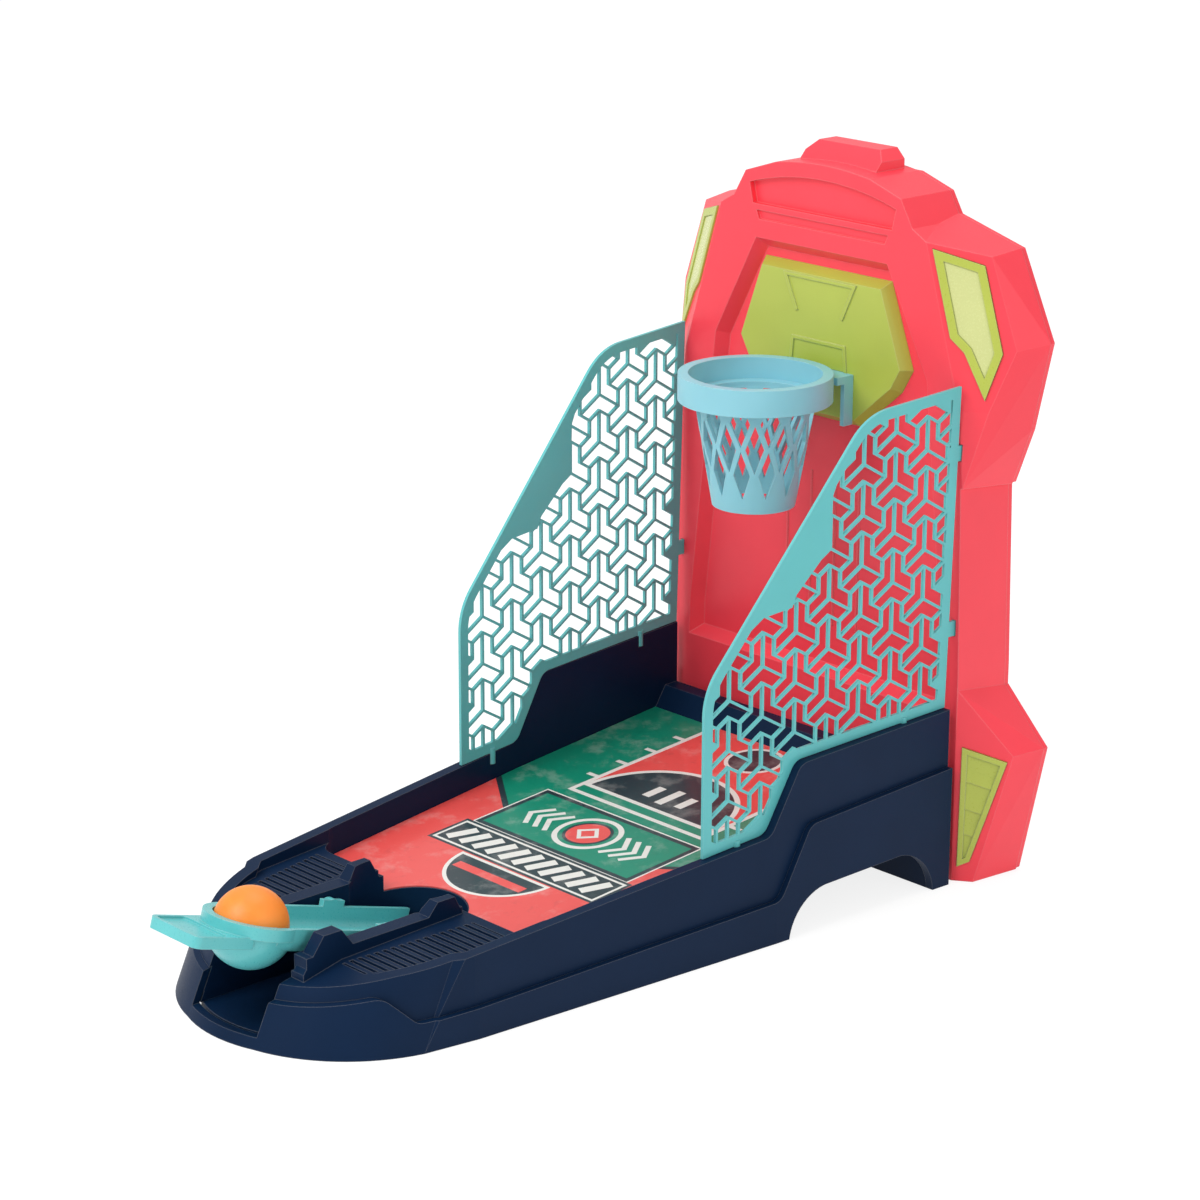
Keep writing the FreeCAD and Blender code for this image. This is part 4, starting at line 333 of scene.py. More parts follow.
def within(tree, flat, shape, numbers):
    """One where a flat point lies inside a printed shape, and zero elsewhere."""
    centre = (numbers[0] * MM, numbers[1] * MM, 0.0)
    if shape == "box":
        turn = math.radians(numbers[4])
        inputs = {"Vector": flat, "Location": centre, "Rotation": (0.0, 0.0, turn)}
        local = add(tree, "ShaderNodeMapping", inputs, vector_type="TEXTURE").outputs[0]
        size = vector_of(tree, "ABSOLUTE", {0: local})
        over = vector_of(tree, "SUBTRACT", {0: size, 1: (numbers[2] * MM, numbers[3] * MM, 1.0)})
        parts = add(tree, "ShaderNodeSeparateXYZ", {0: over}).outputs
        return value_of(tree, "LESS_THAN", value_of(tree, "MAXIMUM", parts[0], parts[1]), 0.0)
    away = vector_of(tree, "DISTANCE", {0: flat, 1: centre}, "Value")
    if shape == "disc":
        return value_of(tree, "LESS_THAN", away, numbers[2] * MM)
    return value_of(tree, "COMPARE", away, numbers[2] * MM, numbers[3] * MM)


def printed_court():
    """Offset print on laminated card: flat inks, a worn look printed into them, and a clear glossy film."""
    ink = {name: opaque(getattr(colours(), name)) for name in
           ("court_green", "court_coral", "court_dark", "court_line")}
    material, tree = new_material("printed laminated card")
    where = add(tree, "ShaderNodeTexCoord").outputs["Object"]
    flat = vector_of(tree, "MULTIPLY", {0: where, 1: (1.0, 1.0, 0.0)})
    across, along = add(tree, "ShaderNodeSeparateXYZ", {0: flat}).outputs[:2]
    side = value_of(tree, "ABSOLUTE", across)
    slope = value_of(tree, "MULTIPLY_ADD", side, BORDER_SLOPE, along)
    front = value_of(tree, "LESS_THAN", slope, BORDER_MIDDLE * MM)
    border = value_of(tree, "COMPARE", slope, BORDER_MIDDLE * MM, BORDER_LINE * MM)
    court = mixed(tree, front, ink["court_green"], ink["court_coral"])
    court = mixed(tree, border, court, ink["court_dark"])
    for shape, numbers, name, limit in COURT_SHAPES:
        mask = within(tree, flat, shape, numbers)
        if limit:
            middle, half = sum(limit) / 2 * MM, (limit[1] - limit[0]) / 2 * MM
            kept = value_of(tree, "COMPARE", along, middle, half)
            mask = value_of(tree, "MULTIPLY", mask, kept)
        court = mixed(tree, mask, court, ink[name])
    patches = noise(tree, where, sizes().print_wear / MM, detail=6.0, roughness=0.72)
    faded = spread(tree, patches, 0.52, 0.66, 0.0, 0.15)
    court = mixed(tree, faded, court, ink["court_line"])
    dirt = noise(tree, where, SMUDGE_SPACING, detail=5.0, roughness=0.7)
    smudges = spread(tree, dirt, 0.56, 0.7, 0.0, 0.12)
    court = mixed(tree, smudges, court, ink["court_dark"])
    film = bumped(tree, noise(tree, where, FILM_WAVES), depth_mm=0.06, strength=0.6)
    shader = add(tree, "ShaderNodeBsdfPrincipled", {
        "Base Color": court, "Roughness": spread(tree, patches, 0.3, 0.7, 0.3, 0.42), "IOR": FILM_IOR,
        "Coat Weight": 0.25, "Coat Roughness": 0.12, "Normal": film}).outputs[0]
    finish_material(tree, shader)
    return material


# Spacing in millimetres and darkest shade of the cloudy bloom on zinc and wire
BLOOM_SPACING = 1.8
BLOOM_SHADE = 0.72


def plated_steel(name, colour, roughness, line_mm, stretch):
    """Zinc plated or drawn steel: fine lines along one way and a faint bloom."""
    material, tree = new_material(name)
    where = add(tree, "ShaderNodeTexCoord").outputs["Object"]
    drawn = add(tree, "ShaderNodeMapping", {"Vector": where, "Scale": stretch}).outputs[0]
    lines = noise(tree, drawn, line_mm, detail=3.0, roughness=0.6)
    bloom = spread(tree, noise(tree, where, BLOOM_SPACING, detail=3.0), 0.35, 0.7, 0.0, 0.35)
    darker = opaque([channel * BLOOM_SHADE for channel in colour])
    tinted = mixed(tree, bloom, opaque(colour), darker)
    bumps = bumped(tree, lines, depth_mm=0.02, strength=0.5)
    shader = add(tree, "ShaderNodeBsdfPrincipled", {
        "Base Color": tinted, "Metallic": 1.0, "Normal": bumps,
        "Roughness": spread(tree, lines, 0.3, 0.7, roughness - 0.07, roughness + 0.08)}).outputs[0]
    finish_material(tree, shader)
    return material


# Spacing of the rubber's open cells in millimetres, and its IOR
RUBBER_CELLS = 0.45
RUBBER_IOR = 1.5


def foam_rubber(name, colour):
    """Black cellular rubber: matt, with open cells under half a millimetre across, their pits painted darker
    as shade.
    """
    material, tree = new_material(name)
    where = add(tree, "ShaderNodeTexCoord").outputs["Object"]
    inputs = {"Vector": where, "Scale": per_metre(RUBBER_CELLS)}
    cells = add(tree, "ShaderNodeTexVoronoi", inputs).outputs["Distance"]
    bumps = bumped(tree, cells, depth_mm=0.12, strength=0.8)
    # painted shade: the cells' pits are painted darker and their rims lighter, following the same relief as
    # the bumps
    lighter = opaque([channel * 2.6 + 0.01 for channel in colour])
    tinted = mixed(tree, spread(tree, cells, 0.2, 0.8, 0.0, 0.7), opaque(colour), lighter)
    shader = add(tree, "ShaderNodeBsdfPrincipled", {
        "Base Color": tinted, "Roughness": 0.82, "IOR": RUBBER_IOR, "Normal": bumps}).outputs[0]
    finish_material(tree, shader)
    return material


# The ball's weld seam: how its circle is turned about X and Y in radians, its half width in
# millimetres and how much higher it stands than the skin; then how light sinks into the wall
SEAM_TURN = (0.5, 0.35, 0.0)
SEAM_HALF = 0.35
SEAM_GAIN = 2.5
BALL_SINK_SHARES = (1.0, 0.42, 0.12)
BALL_SINK_DEPTH = 2.5


def hollow_ball(name, colour, centre):
    """Thin hollow polypropylene ball: a dull bloom, slight glow through the wall and the welded seam."""
    material, tree = new_material(name)
    where = add(tree, "ShaderNodeTexCoord").outputs["Object"]
    inputs = {"Vector": where, "Location": centre, "Rotation": SEAM_TURN}
    local = add(tree, "ShaderNodeMapping", inputs, vector_type="TEXTURE").outputs[0]
    height = value_of(tree, "ABSOLUTE", add(tree, "ShaderNodeSeparateXYZ", {0: local}).outputs[2])
    away = spread(tree, height, 0.0, SEAM_HALF * MM, 0.0, 1.0)
    seam = value_of(tree, "SUBTRACT", 1.0, away)
    skin = noise(tree, where, spacing=0.8, detail=3.0, roughness=0.6)
    relief = value_of(tree, "MULTIPLY_ADD", seam, SEAM_GAIN, skin)
    bumps = bumped(tree, relief, depth_mm=0.05, strength=0.5)
    clouds = spread(tree, noise(tree, where, spacing=9.0, detail=3.0), 0.3, 0.7, 0.95, 1.04)
    tinted = vector_of(tree, "SCALE", {0: colour, "Scale": clouds})
    shader = add(tree, "ShaderNodeBsdfPrincipled", {
        "Base Color": tinted, "Roughness": 0.42, "IOR": POLYPROPYLENE_IOR, "Normal": bumps,
        "Subsurface Weight": 0.35, "Subsurface Radius": BALL_SINK_SHARES,
        "Subsurface Scale": BALL_SINK_DEPTH * MM}).outputs[0]
    finish_material(tree, shader)
    return material


# Meshes

# Corners closer than this many metres are one
SAME_POINT = 1e-7


def evaluated_mesh(piece):
    """A piece's mesh with its modifiers applied."""
    bpy.context.view_layer.update()
    graph = bpy.context.evaluated_depsgraph_get()
    return bpy.data.meshes.new_from_object(piece.evaluated_get(graph))


def dress(material, *names):
    """Give CAD nodes a material."""
    for name in names:
        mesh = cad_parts[name].data
        mesh.materials.clear()
        mesh.materials.append(material)


def place_piece(piece, body, slot, *stood_for):
    """Let a finished piece ride on its body and stand for CAD nodes, which it hides; the slot is not used.
    """
    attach(piece, body)
    if stood_for:
        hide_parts(*stood_for)


def new_object(name, mesh):
    """An object for a mesh, in the scene."""
    made = bpy.data.objects.new(name, mesh)
    bpy.context.scene.collection.objects.link(made)
    return made


def mesh_from(name, build):
    """A mesh that a function draws, with its doubles merged and its faces turned outwards."""
    drawing = bmesh.new()
    build(drawing)
    bmesh.ops.remove_doubles(drawing, verts=drawing.verts, dist=SAME_POINT)
    bmesh.ops.recalc_face_normals(drawing, faces=drawing.faces)
    mesh = bpy.data.meshes.new(name)
    drawing.to_mesh(mesh)
    drawing.free()
    return mesh


def shaded(mesh, angle_degrees):
    """Smooth shading, except over edges sharper than an angle."""
    mesh.shade_smooth()
    mesh.set_sharp_from_angle(angle=math.radians(angle_degrees))


def lathe(drawing, profile, steps):
    """Turn a profile of radius and height round Z into a closed skin. Radius zero is a pole."""
    rings = []
    for radius, height in profile:
        if radius == 0:
            rings.append([drawing.verts.new((0, 0, height))] * steps)
        else:
            rings.append([drawing.verts.new((radius * math.cos(turn), radius * math.sin(turn), height))
                          for turn in (2 * math.pi * step / steps for step in range(steps))])
    for lower, upper in zip(rings, rings[1:]):
        for step in range(steps):
            corners = [lower[step], lower[(step + 1) % steps], upper[(step + 1) % steps], upper[step]]
            unique = list(dict.fromkeys(corners))
            if len(unique) > 2:
                drawing.faces.new(unique)


# Screws

SCREW_SETS = {"base_screws": "down", "tray_screws": "down", "keeper_screws": "down",
              "cover_screws": "back", "link_screws": "back", "backboard_screws": "back"}
SHARP_ANGLE = 32
DOME_STEPS = 6
ROUND_STEPS = 28
# Points within this many head radii of a screw's first point are its own, and a long shank's
# millimetres are added to that reach
REACH_HEADS = 4
LONG_SHANKS = {"link_screws": 20.0}
# Shares of the shank's radius, of a thread's pitch, of the head's radius and of its height
TIP_SHARE = 0.45
POINT_SHARE = 0.6
ROOT_SHARE = 0.8
NECK_SHARE = 0.85
CREST_SHARE = 0.4
RUN_OUT_SHARE = 0.2
UNDERSIDE_SHARE = 0.97
RIM_SHARE = 0.08
DOME_SHARE = 0.7
# The cross: its arms' length and half width, how it tapers, and where it starts and ends
ARM_SHARE = 0.58
ARM_WIDTH_SHARE = 0.26
TAPER_SHARE = 0.62
FLOOR_SHARE = 0.3
ABOVE_SHARE = 1.4


def screw_mesh(length):
    """A pan head screw with its head's underside at zero, its head towards +Z and its shank below."""
    head, height, shank = sizes().head_radius, sizes().head_height, sizes().shank_radius
    pitch = sizes().thread_pitch
    root, neck = shank * ROOT_SHARE, shank * NECK_SHARE
    profile = [(0, -length), (shank * TIP_SHARE, -length + shank * POINT_SHARE)]
    for index in range(int((length - shank) / pitch)):
        low = -length + shank + index * pitch
        profile += [(root, low), (shank, low + pitch * CREST_SHARE), (root, low + pitch * 2 * CREST_SHARE)]
    profile += [(neck, -pitch * RUN_OUT_SHARE), (neck, 0)]
    profile += [(head * UNDERSIDE_SHARE, 0), (head, height * RIM_SHARE)]
    for step in range(1, DOME_STEPS + 1):
        angle = math.pi / 2 * step / DOME_STEPS
        radius = head * math.cos(angle) if step < DOME_STEPS else 0
        profile.append((radius, height * (1 - DOME_SHARE + DOME_SHARE * math.sin(angle))))
    return mesh_from("screw_body", lambda drawing: lathe(drawing, profile, ROUND_STEPS))


def cross_mesh():
    """The cross that a driver fits, as a tapered plus."""
    head, height, shank = sizes().head_radius, sizes().head_height, sizes().shank_radius

    def build(drawing):
        arm, width = head * ARM_SHARE, shank * ARM_WIDTH_SHARE
        outline = [(arm, width), (width, width), (width, arm)]
        ring = []
        for quarter in range(4):
            turn = Matrix.Rotation(quarter * math.pi / 2, 2)
            ring += [turn @ Vector(corner) for corner in outline]
        top = [drawing.verts.new((*corner, height * ABOVE_SHARE)) for corner in ring]
        low = [drawing.verts.new((*(corner * TAPER_SHARE), height * FLOOR_SHARE)) for corner in ring]
        drawing.faces.new(top)
        drawing.faces.new(low)
        count = len(ring)
        for index in range(count):
            drawing.faces.new([top[index], top[(index + 1) % count], low[(index + 1) % count], low[index]])
    return mesh_from("driver_cross", build)


def cut_away(piece, tool):
    """Cut one mesh out of another for good."""
    modifier = piece.modifiers.new("cut", "BOOLEAN")
    modifier.operation = "DIFFERENCE"
    modifier.solver = "EXACT"
    modifier.object = tool
    result = evaluated_mesh(piece)
    piece.modifiers.remove(modifier)
    piece.data = result


def loose_islands(name, reach):
    """The corner points of each separate solid of a node, parted by how far they lie from each other."""
    groups = []
    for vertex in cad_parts[name].data.vertices:
        for group in groups:
            if (vertex.co - group[0]).length < reach:
                group.append(vertex.co)
                break
        else:
            groups.append([vertex.co])
    return groups


def scatter_tree(name):
    """Geometry nodes that put one object on every point, each spun about its own length."""
    tree = bpy.data.node_groups.new(name, "GeometryNodeTree")
    face = tree.interface
    face.new_socket("Geometry", in_out="INPUT", socket_type="NodeSocketGeometry")
    face.new_socket("Item", in_out="INPUT", socket_type="NodeSocketObject")
    face.new_socket("Most Spin", in_out="INPUT", socket_type="NodeSocketVector")
    face.new_socket("Seed", in_out="INPUT", socket_type="NodeSocketInt")
    face.new_socket("Finish", in_out="INPUT", socket_type="NodeSocketMaterial")
    face.new_socket("Geometry", in_out="OUTPUT", socket_type="NodeSocketGeometry")
    given = add(tree, "NodeGroupInput").outputs
    item = add(tree, "GeometryNodeObjectInfo", {"Object": given["Item"]}, transform_space="ORIGINAL")
    spin = add(tree, "FunctionNodeRandomValue", {1: given["Most Spin"], "Seed": given["Seed"]},
               data_type="FLOAT_VECTOR").outputs[0]
    placed = add(tree, "GeometryNodeInstanceOnPoints", {"Points": given["Geometry"],
                                                        "Instance": item.outputs["Geometry"],
                                                        "Rotation": spin}).outputs[0]
    real = add(tree, "GeometryNodeRealizeInstances", {"Geometry": placed}).outputs[0]
    coated = add(tree, "GeometryNodeSetMaterial", {"Geometry": real, "Material": given["Finish"]}).outputs[0]
    add(tree, "NodeGroupOutput", {"Geometry": coated})
    return tree


def socket_code(tree, label):
    """The identifier of a tree's input, by its name."""
    return next(item.identifier for item in tree.interface.items_tree
                if item.name == label and item.in_out == "INPUT")


def screws_on(name, direction, tree, finish):
    """All the screws of one set as one mesh, standing where the set's own screws are."""
    spots, lengths = [], []
    reach = REACH_HEADS * sizes().head_radius + LONG_SHANKS.get(name, 0) * MM
    for group in loose_islands(name, reach):
        low = Vector([min(point[axis] for point in group) for axis in range(3)])
        high = Vector([max(point[axis] for point in group) for axis in range(3)])
        middle = (low + high) / 2
        if direction == "down":
            spots.append(Vector((middle.x, middle.y, low.z + sizes().head_height)))
            lengths.append(high.z - low.z - sizes().head_height)
        else:
            spots.append(Vector((middle.x, high.y - sizes().head_height, middle.z)))
            lengths.append(high.y - low.y - sizes().head_height)
    body = new_object("screw_blank", screw_mesh(lengths[0]))
    cross = new_object("screw_cross", cross_mesh())
    cut_away(body, cross)
    body.data.transform(Matrix.Rotation(math.pi if direction == "down" else -math.pi / 2, 4, "X"))

    def build(drawing):
        for spot in spots:
            drawing.verts.new(spot)
    points = new_object(name + "_made", mesh_from("points", build))
    spin = (0.0, 0.0, math.pi) if direction == "down" else (0.0, math.pi, 0.0)
    modifier = points.modifiers.new("screws", "NODES")
    modifier.node_group = tree
    inputs = {"Item": body, "Most Spin": spin, "Seed": sizes().random_seed, "Finish": finish}
    for label, value in inputs.items():
        modifier[socket_code(tree, label)] = value
    mesh = evaluated_mesh(points)
    mesh.name = name + "_made"
    points.modifiers.remove(modifier)
    points.data = mesh
    shaded(mesh, SHARP_ANGLE)
    for spent in (body, cross):
        bpy.data.objects.remove(spent)
    return points


# Pale panels of the tower's inserts: how a front face leans at least, how near two faces of one plane
# lie, then the panel's gap to the face, margin round it, edge and merging distance in millimetres

FRONT_LEAN = -0.3
SAME_PLANE = 0.2
NO_AREA = 1e-12
PANEL_GAP = 0.02
PANEL_MARGIN = 0.45
PANEL_EDGE = 0.15
PANEL_MERGE = 0.01
FLAT_ANGLE = 2


def sunk_face(name):
    """The triangles of an insert's sunk front face, and the way that they look."""
    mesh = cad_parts[name].data
    mesh.calc_loop_triangles()
    groups = {}
    for triangle in mesh.loop_triangles:
        corners = [mesh.vertices[index].co for index in triangle.vertices]
        normal = (corners[1] - corners[0]).cross(corners[2] - corners[0])
        if normal.length < NO_AREA:
            continue
        area = normal.length / 2
        normal.normalize()
        if normal.y > FRONT_LEAN:
            continue
        depth = normal.dot(corners[0])
        key = (*(round(part, 2) for part in normal), round(depth / (SAME_PLANE * MM)))
        entry = groups.setdefault(key, [0.0, [], normal.copy(), depth])
        entry[0] += area
        entry[1].append(corners)
    widest = sorted(groups.values(), key=lambda entry: -entry[0])[:2]
    deepest = min(widest, key=lambda entry: entry[3])
    return deepest[1], deepest[2]


def panel_piece(name, rise):
    """A thin pale panel that lies in an insert's sunk face."""
    triangles, normal = sunk_face(name)

    def build(drawing):
        for corners in triangles:
            drawing.faces.new([drawing.verts.new(corner + normal * PANEL_GAP * MM) for corner in corners])
        bmesh.ops.remove_doubles(drawing, verts=drawing.verts, dist=PANEL_MERGE * MM)
        bmesh.ops.dissolve_faces(drawing, faces=drawing.faces[:])
        bmesh.ops.dissolve_limit(drawing, angle_limit=math.radians(FLAT_ANGLE), verts=drawing.verts[:],
                                 edges=drawing.edges[:])
        inset = bmesh.ops.inset_region(drawing, faces=drawing.faces[:], thickness=PANEL_MARGIN * MM)
        bmesh.ops.delete(drawing, geom=inset["faces"], context="FACES")
        raised = bmesh.ops.extrude_face_region(drawing, geom=drawing.faces[:])
        lifted = [item for item in raised["geom"] if isinstance(item, bmesh.types.BMVert)]
        bmesh.ops.translate(drawing, verts=lifted, vec=normal * rise)
    mesh = mesh_from(name + "_panel", build)
    panel = new_object(name + "_panel", mesh)
    bevel = panel.modifiers.new("soft edges", "BEVEL")
    bevel.width = PANEL_EDGE * MM
    bevel.segments = 2
    return panel


# Stage: the table's half size and drop in metres, how far and how strongly it shows plain white to the
# camera, the spacing of its fibres in millimetres, the point that the lamps look at, and each lamp's
# name, place and size in metres and power in watts
TABLE_HALF = 6.0
TABLE_DROP = 0.0002
PLAIN_SHARE = 0.72
PLAIN_STRENGTH = 1.16
FIBRE_SPACING = 3.0
LAMP_TARGET = (0.0, 0.0, 0.1)
LAMPS = (
    ("key softbox", (-0.2, -1.3, 1.5), 1.1, 21.0),
    ("side softbox", (1.7, 0.1, 0.9), 1.0, 4.0),
    ("top softbox", (-0.3, 0.5, 1.9), 1.2, 8.0),
)


def seen_plainly(tree, *kinds):
    """One for rays of the given kinds, and zero for the others."""
    paths = add(tree, "ShaderNodeLightPath").outputs
    seen = paths[kinds[0]]
    for kind in kinds[1:]:
        seen = value_of(tree, "MAXIMUM", seen, paths[kind])
    return seen


def white_table():
    """Matt white card that shows plain white to the camera and in reflections, and keeps the shadow."""
    white = opaque(colours().floor)
    material, tree = new_material("matt white table")
    seen = seen_plainly(tree, "Is Camera Ray", "Is Glossy Ray", "Is Transmission Ray")
    where = add(tree, "ShaderNodeTexCoord").outputs["Object"]
    fibres = spread(tree, noise(tree, where, FIBRE_SPACING, detail=4.0), 0.3, 0.7, 0.985, 1.0)
    paper = vector_of(tree, "SCALE", {0: colours().floor, "Scale": fibres})
    matt = add(tree, "ShaderNodeBsdfDiffuse", {"Color": paper}).outputs[0]
    glow = add(tree, "ShaderNodeEmission", {"Color": white, "Strength": PLAIN_STRENGTH}).outputs[0]
    share = value_of(tree, "MULTIPLY", seen, PLAIN_SHARE)
    finish_material(tree, add(tree, "ShaderNodeMixShader", {0: share, 1: matt, 2: glow}).outputs[0])
    return material


def white_room(strength):
    """A world of even white light that shows plain white to the camera."""
    white = opaque(colours().floor)
    world = bpy.data.worlds.new("soft white room")
    world.use_nodes = True
    tree = world.node_tree
    tree.nodes.clear()
    room = add(tree, "ShaderNodeBackground", {"Color": white, "Strength": strength}).outputs[0]
    sheet = add(tree, "ShaderNodeBackground", {"Color": white, "Strength": 1.0}).outputs[0]
    seen = seen_plainly(tree, "Is Camera Ray", "Is Transmission Ray")
    both = add(tree, "ShaderNodeMixShader", {0: seen, 1: room, 2: sheet}).outputs[0]
    add(tree, "ShaderNodeOutputWorld", {"Surface": both})
    return world


def softbox(name, place, size, power):
    """A square area lamp that looks at the game."""
    lamp = bpy.data.lights.new(name, "AREA")
    lamp.shape = "SQUARE"
    lamp.size = size
    lamp.energy = power
    holder = bpy.data.objects.new(name, lamp)
    holder.location = place
    aim = Vector(LAMP_TARGET) - Vector(place)
    holder.rotation_euler = aim.to_track_quat("-Z", "Y").to_euler()
    bpy.context.scene.collection.objects.link(holder)


def product_camera(stage):
    """The camera at the photograph's viewpoint."""
    lens = bpy.data.cameras.new("product camera")
    lens.sensor_width = 36.0
    lens.lens = stage.lens
    lens.clip_start = 0.01
    camera = bpy.data.objects.new("product camera", lens)
    turn = (Matrix.Rotation(stage.azimuth, 4, "Z") @ Matrix.Rotation(math.pi / 2 - stage.elevation, 4, "X")
            @ Matrix.Rotation(stage.roll, 4, "Z"))
    camera.matrix_world = Matrix.Translation(Vector(stage.place)) @ turn
    bpy.context.scene.collection.objects.link(camera)
    return camera


# Operators

class BASKETBALL_OT_base(Operator):
    """Satin navy plastic on the base, deck, tray and keepers"""

    bl_idname = "basketball.base"
    bl_label = "Base and Deck"

    def execute(self, context):
        # ABS from a spark-eroded tool: even satin with a fine grain, drawn a little coarser to show
        navy = moulded_plastic("moulded ABS navy satin", colours().navy, roughness=0.44,
                               grain_mm=sizes().satin_grain / MM, grain_depth_mm=0.02,
                               edge_round=sizes().edge_round, mottle=0.06, edge_highlight_gain=0.3, gloss=0.1)
        dress(navy, "base_skirt", "deck_shell", "ball_tray", "pivot_keepers")
        return {"FINISHED"}


class BASKETBALL_OT_court(Operator):
    """Printed card on the court"""

    bl_idname = "basketball.court"
    bl_label = "Court Card"

    def execute(self, context):
        dress(printed_court(), "court_card")
        return {"FINISHED"}


class BASKETBALL_OT_launcher(Operator):
    """Turquoise lever, its spring and the stop pad"""

    bl_idname = "basketball.launcher"
    bl_label = "Launcher"

    def execute(self, context):
        # ABS from a polished tool: broad soft highlights with hardly any grain
        teal = moulded_plastic("moulded ABS turquoise polished", colours().teal, roughness=0.3,
                               grain_mm=0.7, grain_depth_mm=0.008, edge_round=sizes().edge_round,
                               mottle=0.04, edge_highlight_gain=0.5, see_through=0.08)
        dress(teal, "launch_lever")
        # spring wire drawn through a die keeps faint lines along it
        wire = plated_steel("drawn spring wire", colours().steel, roughness=0.28, line_mm=0.25,
                            stretch=(1.0, 1.0, 0.3))
        dress(wire, "lever_spring")
        dress(foam_rubber("cellular rubber black", colours().rubber), "stop_pad")
        return {"FINISHED"}


class BASKETBALL_OT_ball(Operator):
    """Hollow orange ball"""

    bl_idname = "basketball.ball"
    bl_label = "Ball"

    def execute(self, context):
        # blown polypropylene: a dull skin over a thin wall that glows a little
        low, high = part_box("ball")
        dress(hollow_ball("blown polypropylene orange", colours().ball, (low + high) / 2), "ball")
        return {"FINISHED"}


class BASKETBALL_OT_tower(Operator):
    """Coral red tower and its back cover"""

    bl_idname = "basketball.tower"
    bl_label = "Tower"

    def execute(self, context):
        # ABS from a smooth tool: clean colour, soft sheen
        coral = moulded_plastic("moulded ABS coral smooth", colours().coral, roughness=0.36,
                                grain_mm=0.8, grain_depth_mm=0.008, edge_round=sizes().edge_round * 1.6,
                                mottle=0.03, edge_highlight_gain=0.35, see_through=0.05, gloss=0.35)
        dress(coral, "tower_front", "tower_back")
        return {"FINISHED"}


class BASKETBALL_OT_inserts(Operator):
    """Lime inserts of the wings with their pale panels"""

    bl_idname = "basketball.inserts"
    bl_label = "Wing Inserts"

    def execute(self, context):
        # ABS from a polished tool: a glossy skin whose edges catch the light, and are also painted paler as
        # a highlight
        lime = moulded_plastic("moulded ABS lime gloss", colours().lime, roughness=0.3, grain_mm=0.8,
                               grain_depth_mm=0.008, edge_round=sizes().edge_round, mottle=0.03,
                               edge_highlight_gain=0.5)
        dress(lime, "upper_insert_left", "upper_insert_right", "lower_insert_left", "lower_insert_right")
        pale = moulded_plastic("moulded ABS pale lime gloss", colours().pale_lime, roughness=0.26,
                               grain_mm=0.9, grain_depth_mm=0.006, edge_round=sizes().net_edge_round,
                               mottle=0.03, edge_highlight_gain=0.3)
        for name in ("upper_insert_left", "upper_insert_right"):
            panel = panel_piece(name, sizes().panel_rise)
            panel.data.materials.append(pale)
            place_piece(panel, "base", "lime_plastic")
        return {"FINISHED"}


class BASKETBALL_OT_backboard(Operator):
    """Lime backboard and light blue hoop with its basket"""

    bl_idname = "basketball.backboard"
    bl_label = "Backboard and Hoop"

    def execute(self, context):
        # ABS from a finely blasted tool: satin, so the raised lines read by their edges, which are also
        # painted paler as a highlight
        board = moulded_plastic("moulded ABS lime satin", colours().lime, roughness=0.36, grain_mm=0.7,
                                grain_depth_mm=0.012, edge_round=sizes().edge_round, mottle=0.04,
                                edge_highlight_gain=0.5)
        dress(board, "backboard")
        # polypropylene: a little waxy, so light sinks in slightly
        hoop = moulded_plastic("moulded polypropylene light blue", colours().sky, roughness=0.38,
                               grain_mm=0.8, grain_depth_mm=0.01, edge_round=sizes().net_edge_round * 1.4,
                               mottle=0.03, edge_highlight_gain=0.4, ior=POLYPROPYLENE_IOR, see_through=0.12)
        dress(hoop, "hoop_basket")
        return {"FINISHED"}


class BASKETBALL_OT_nets(Operator):
    """Turquoise lattice nets"""

    bl_idname = "basketball.nets"
    bl_label = "Side Nets"

    def execute(self, context):
        # polypropylene: waxy, and thin bars let a little light through
        net = moulded_plastic("moulded polypropylene turquoise", colours().teal, roughness=0.36,
                              grain_mm=0.8, grain_depth_mm=0.01, edge_round=sizes().net_edge_round,
                              mottle=0.03, edge_highlight_gain=0.4, ior=POLYPROPYLENE_IOR, see_through=0.1)
        dress(net, "side_net_left", "side_net_right")
        return {"FINISHED"}


class BASKETBALL_OT_screws(Operator):
    """Pan head screws with a driver's cross, set on their points by geometry nodes"""

    bl_idname = "basketball.screws"
    bl_label = "Screws"

    def execute(self, context):
        # bright zinc on cold headed steel: faint lines and a cloudy bloom
        steel = plated_steel("zinc plated steel", colours().steel, roughness=0.3, line_mm=0.3,
                             stretch=(1.0, 1.0, 1.0))
        tree = scatter_tree("Screws on points")
        for name, direction in SCREW_SETS.items():
            place_piece(screws_on(name, direction, tree, steel), "base", "screw_steel", name)
        return {"FINISHED"}


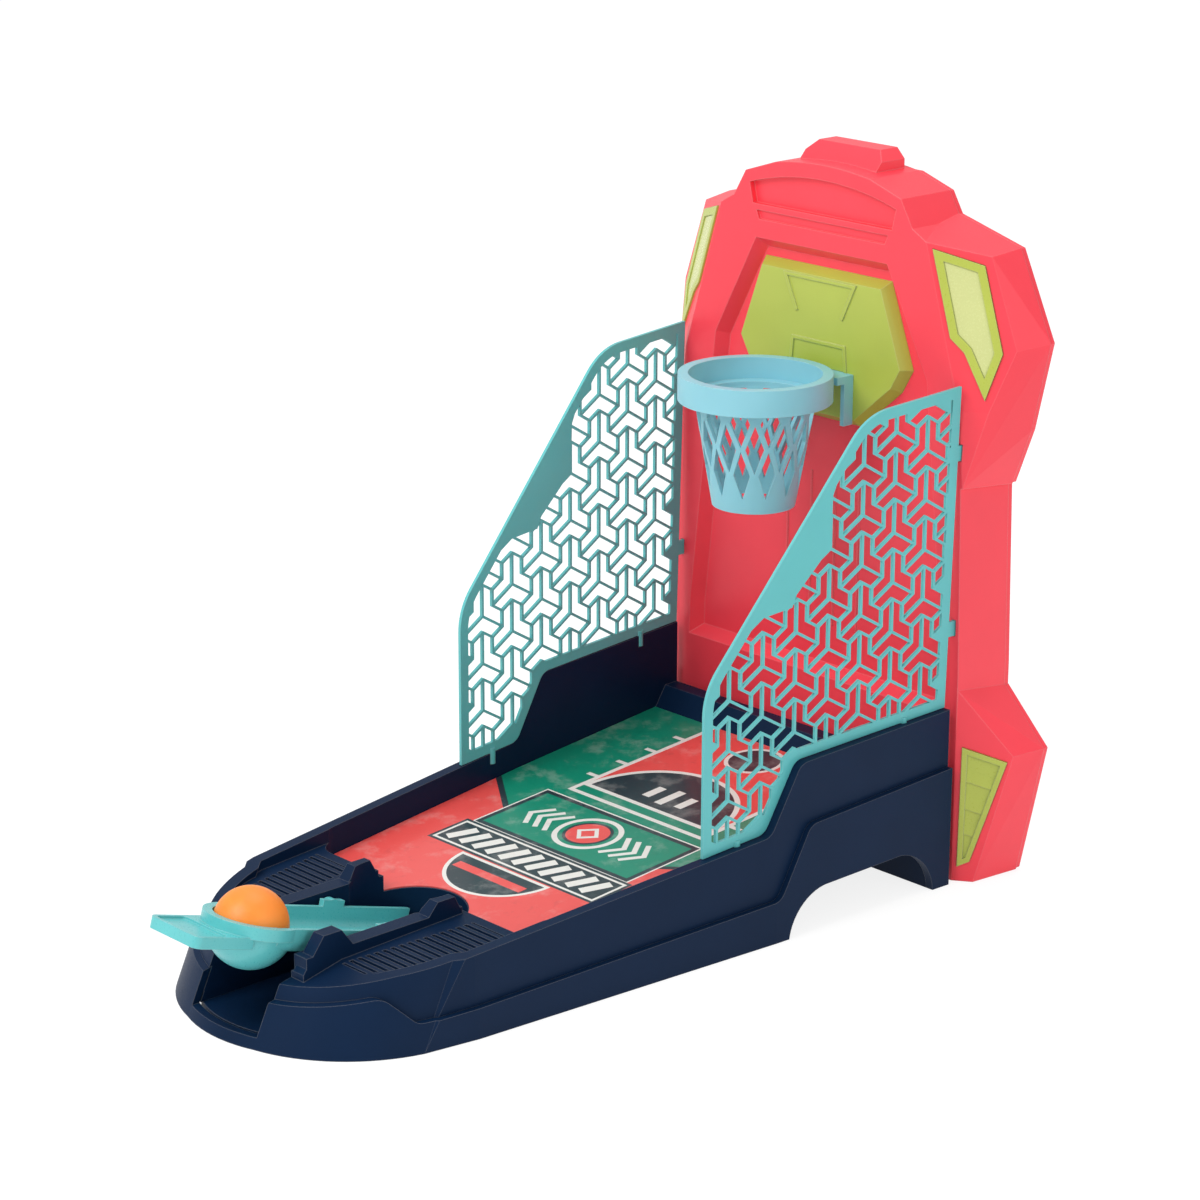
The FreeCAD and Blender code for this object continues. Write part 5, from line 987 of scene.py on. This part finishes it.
class BASKETBALL_OT_stage(Operator):
    """White table, soft lights and the camera"""

    bl_idname = "basketball.stage"
    bl_label = "Stage"

    def execute(self, context):
        scene = bpy.context.scene
        stage = scene.basketball_stage

        def build(drawing):
            bmesh.ops.create_grid(drawing, x_segments=2, y_segments=2, size=TABLE_HALF)
        table = new_object("table", mesh_from("table", build))
        table.data.materials.append(white_table())
        table.location.z = -TABLE_DROP
        scene.world = white_room(stage.sky_strength)
        for lamp in LAMPS:
            softbox(*lamp)
        scene.camera = product_camera(stage)
        scene.view_settings.view_transform = "Standard"
        return {"FINISHED"}


OPERATORS = (BASKETBALL_OT_stage, BASKETBALL_OT_base, BASKETBALL_OT_court, BASKETBALL_OT_launcher,
             BASKETBALL_OT_ball, BASKETBALL_OT_tower, BASKETBALL_OT_inserts, BASKETBALL_OT_backboard,
             BASKETBALL_OT_nets, BASKETBALL_OT_screws)


class BASKETBALL_PT_pieces(Panel):
    """Lists the pieces, colours and sizes of the game"""

    bl_idname = "BASKETBALL_PT_pieces"
    bl_label = "Tabletop Basketball"
    bl_space_type = "VIEW_3D"
    bl_region_type = "UI"
    bl_category = "Basketball"

    def draw(self, context):
        for kind in OPERATORS:
            self.layout.operator(kind.bl_idname)
        for group in (context.scene.basketball_colours, context.scene.basketball_sizes,
                      context.scene.basketball_stage):
            box = self.layout.box()
            for name in group.bl_rna.properties.keys():
                if name not in ("rna_type", "name"):
                    box.prop(group, name)


GROUPS = {"basketball_colours": BasketballColours, "basketball_sizes": BasketballSizes,
          "basketball_stage": BasketballStage}


def register():
    for kind in (*GROUPS.values(), *OPERATORS, BASKETBALL_PT_pieces):
        bpy.utils.register_class(kind)
    for name, kind in GROUPS.items():
        setattr(bpy.types.Scene, name, PointerProperty(type=kind))


def unregister():
    for name in GROUPS:
        delattr(bpy.types.Scene, name)
    for kind in (BASKETBALL_PT_pieces, *reversed(OPERATORS), *reversed(list(GROUPS.values()))):
        bpy.utils.unregister_class(kind)


def main():
    """Make every piece in order."""
    register()
    for kind in OPERATORS:
        family, action = kind.bl_idname.split(".")
        getattr(getattr(bpy.ops, family), action)()


if __name__ == "__main__":
    main()
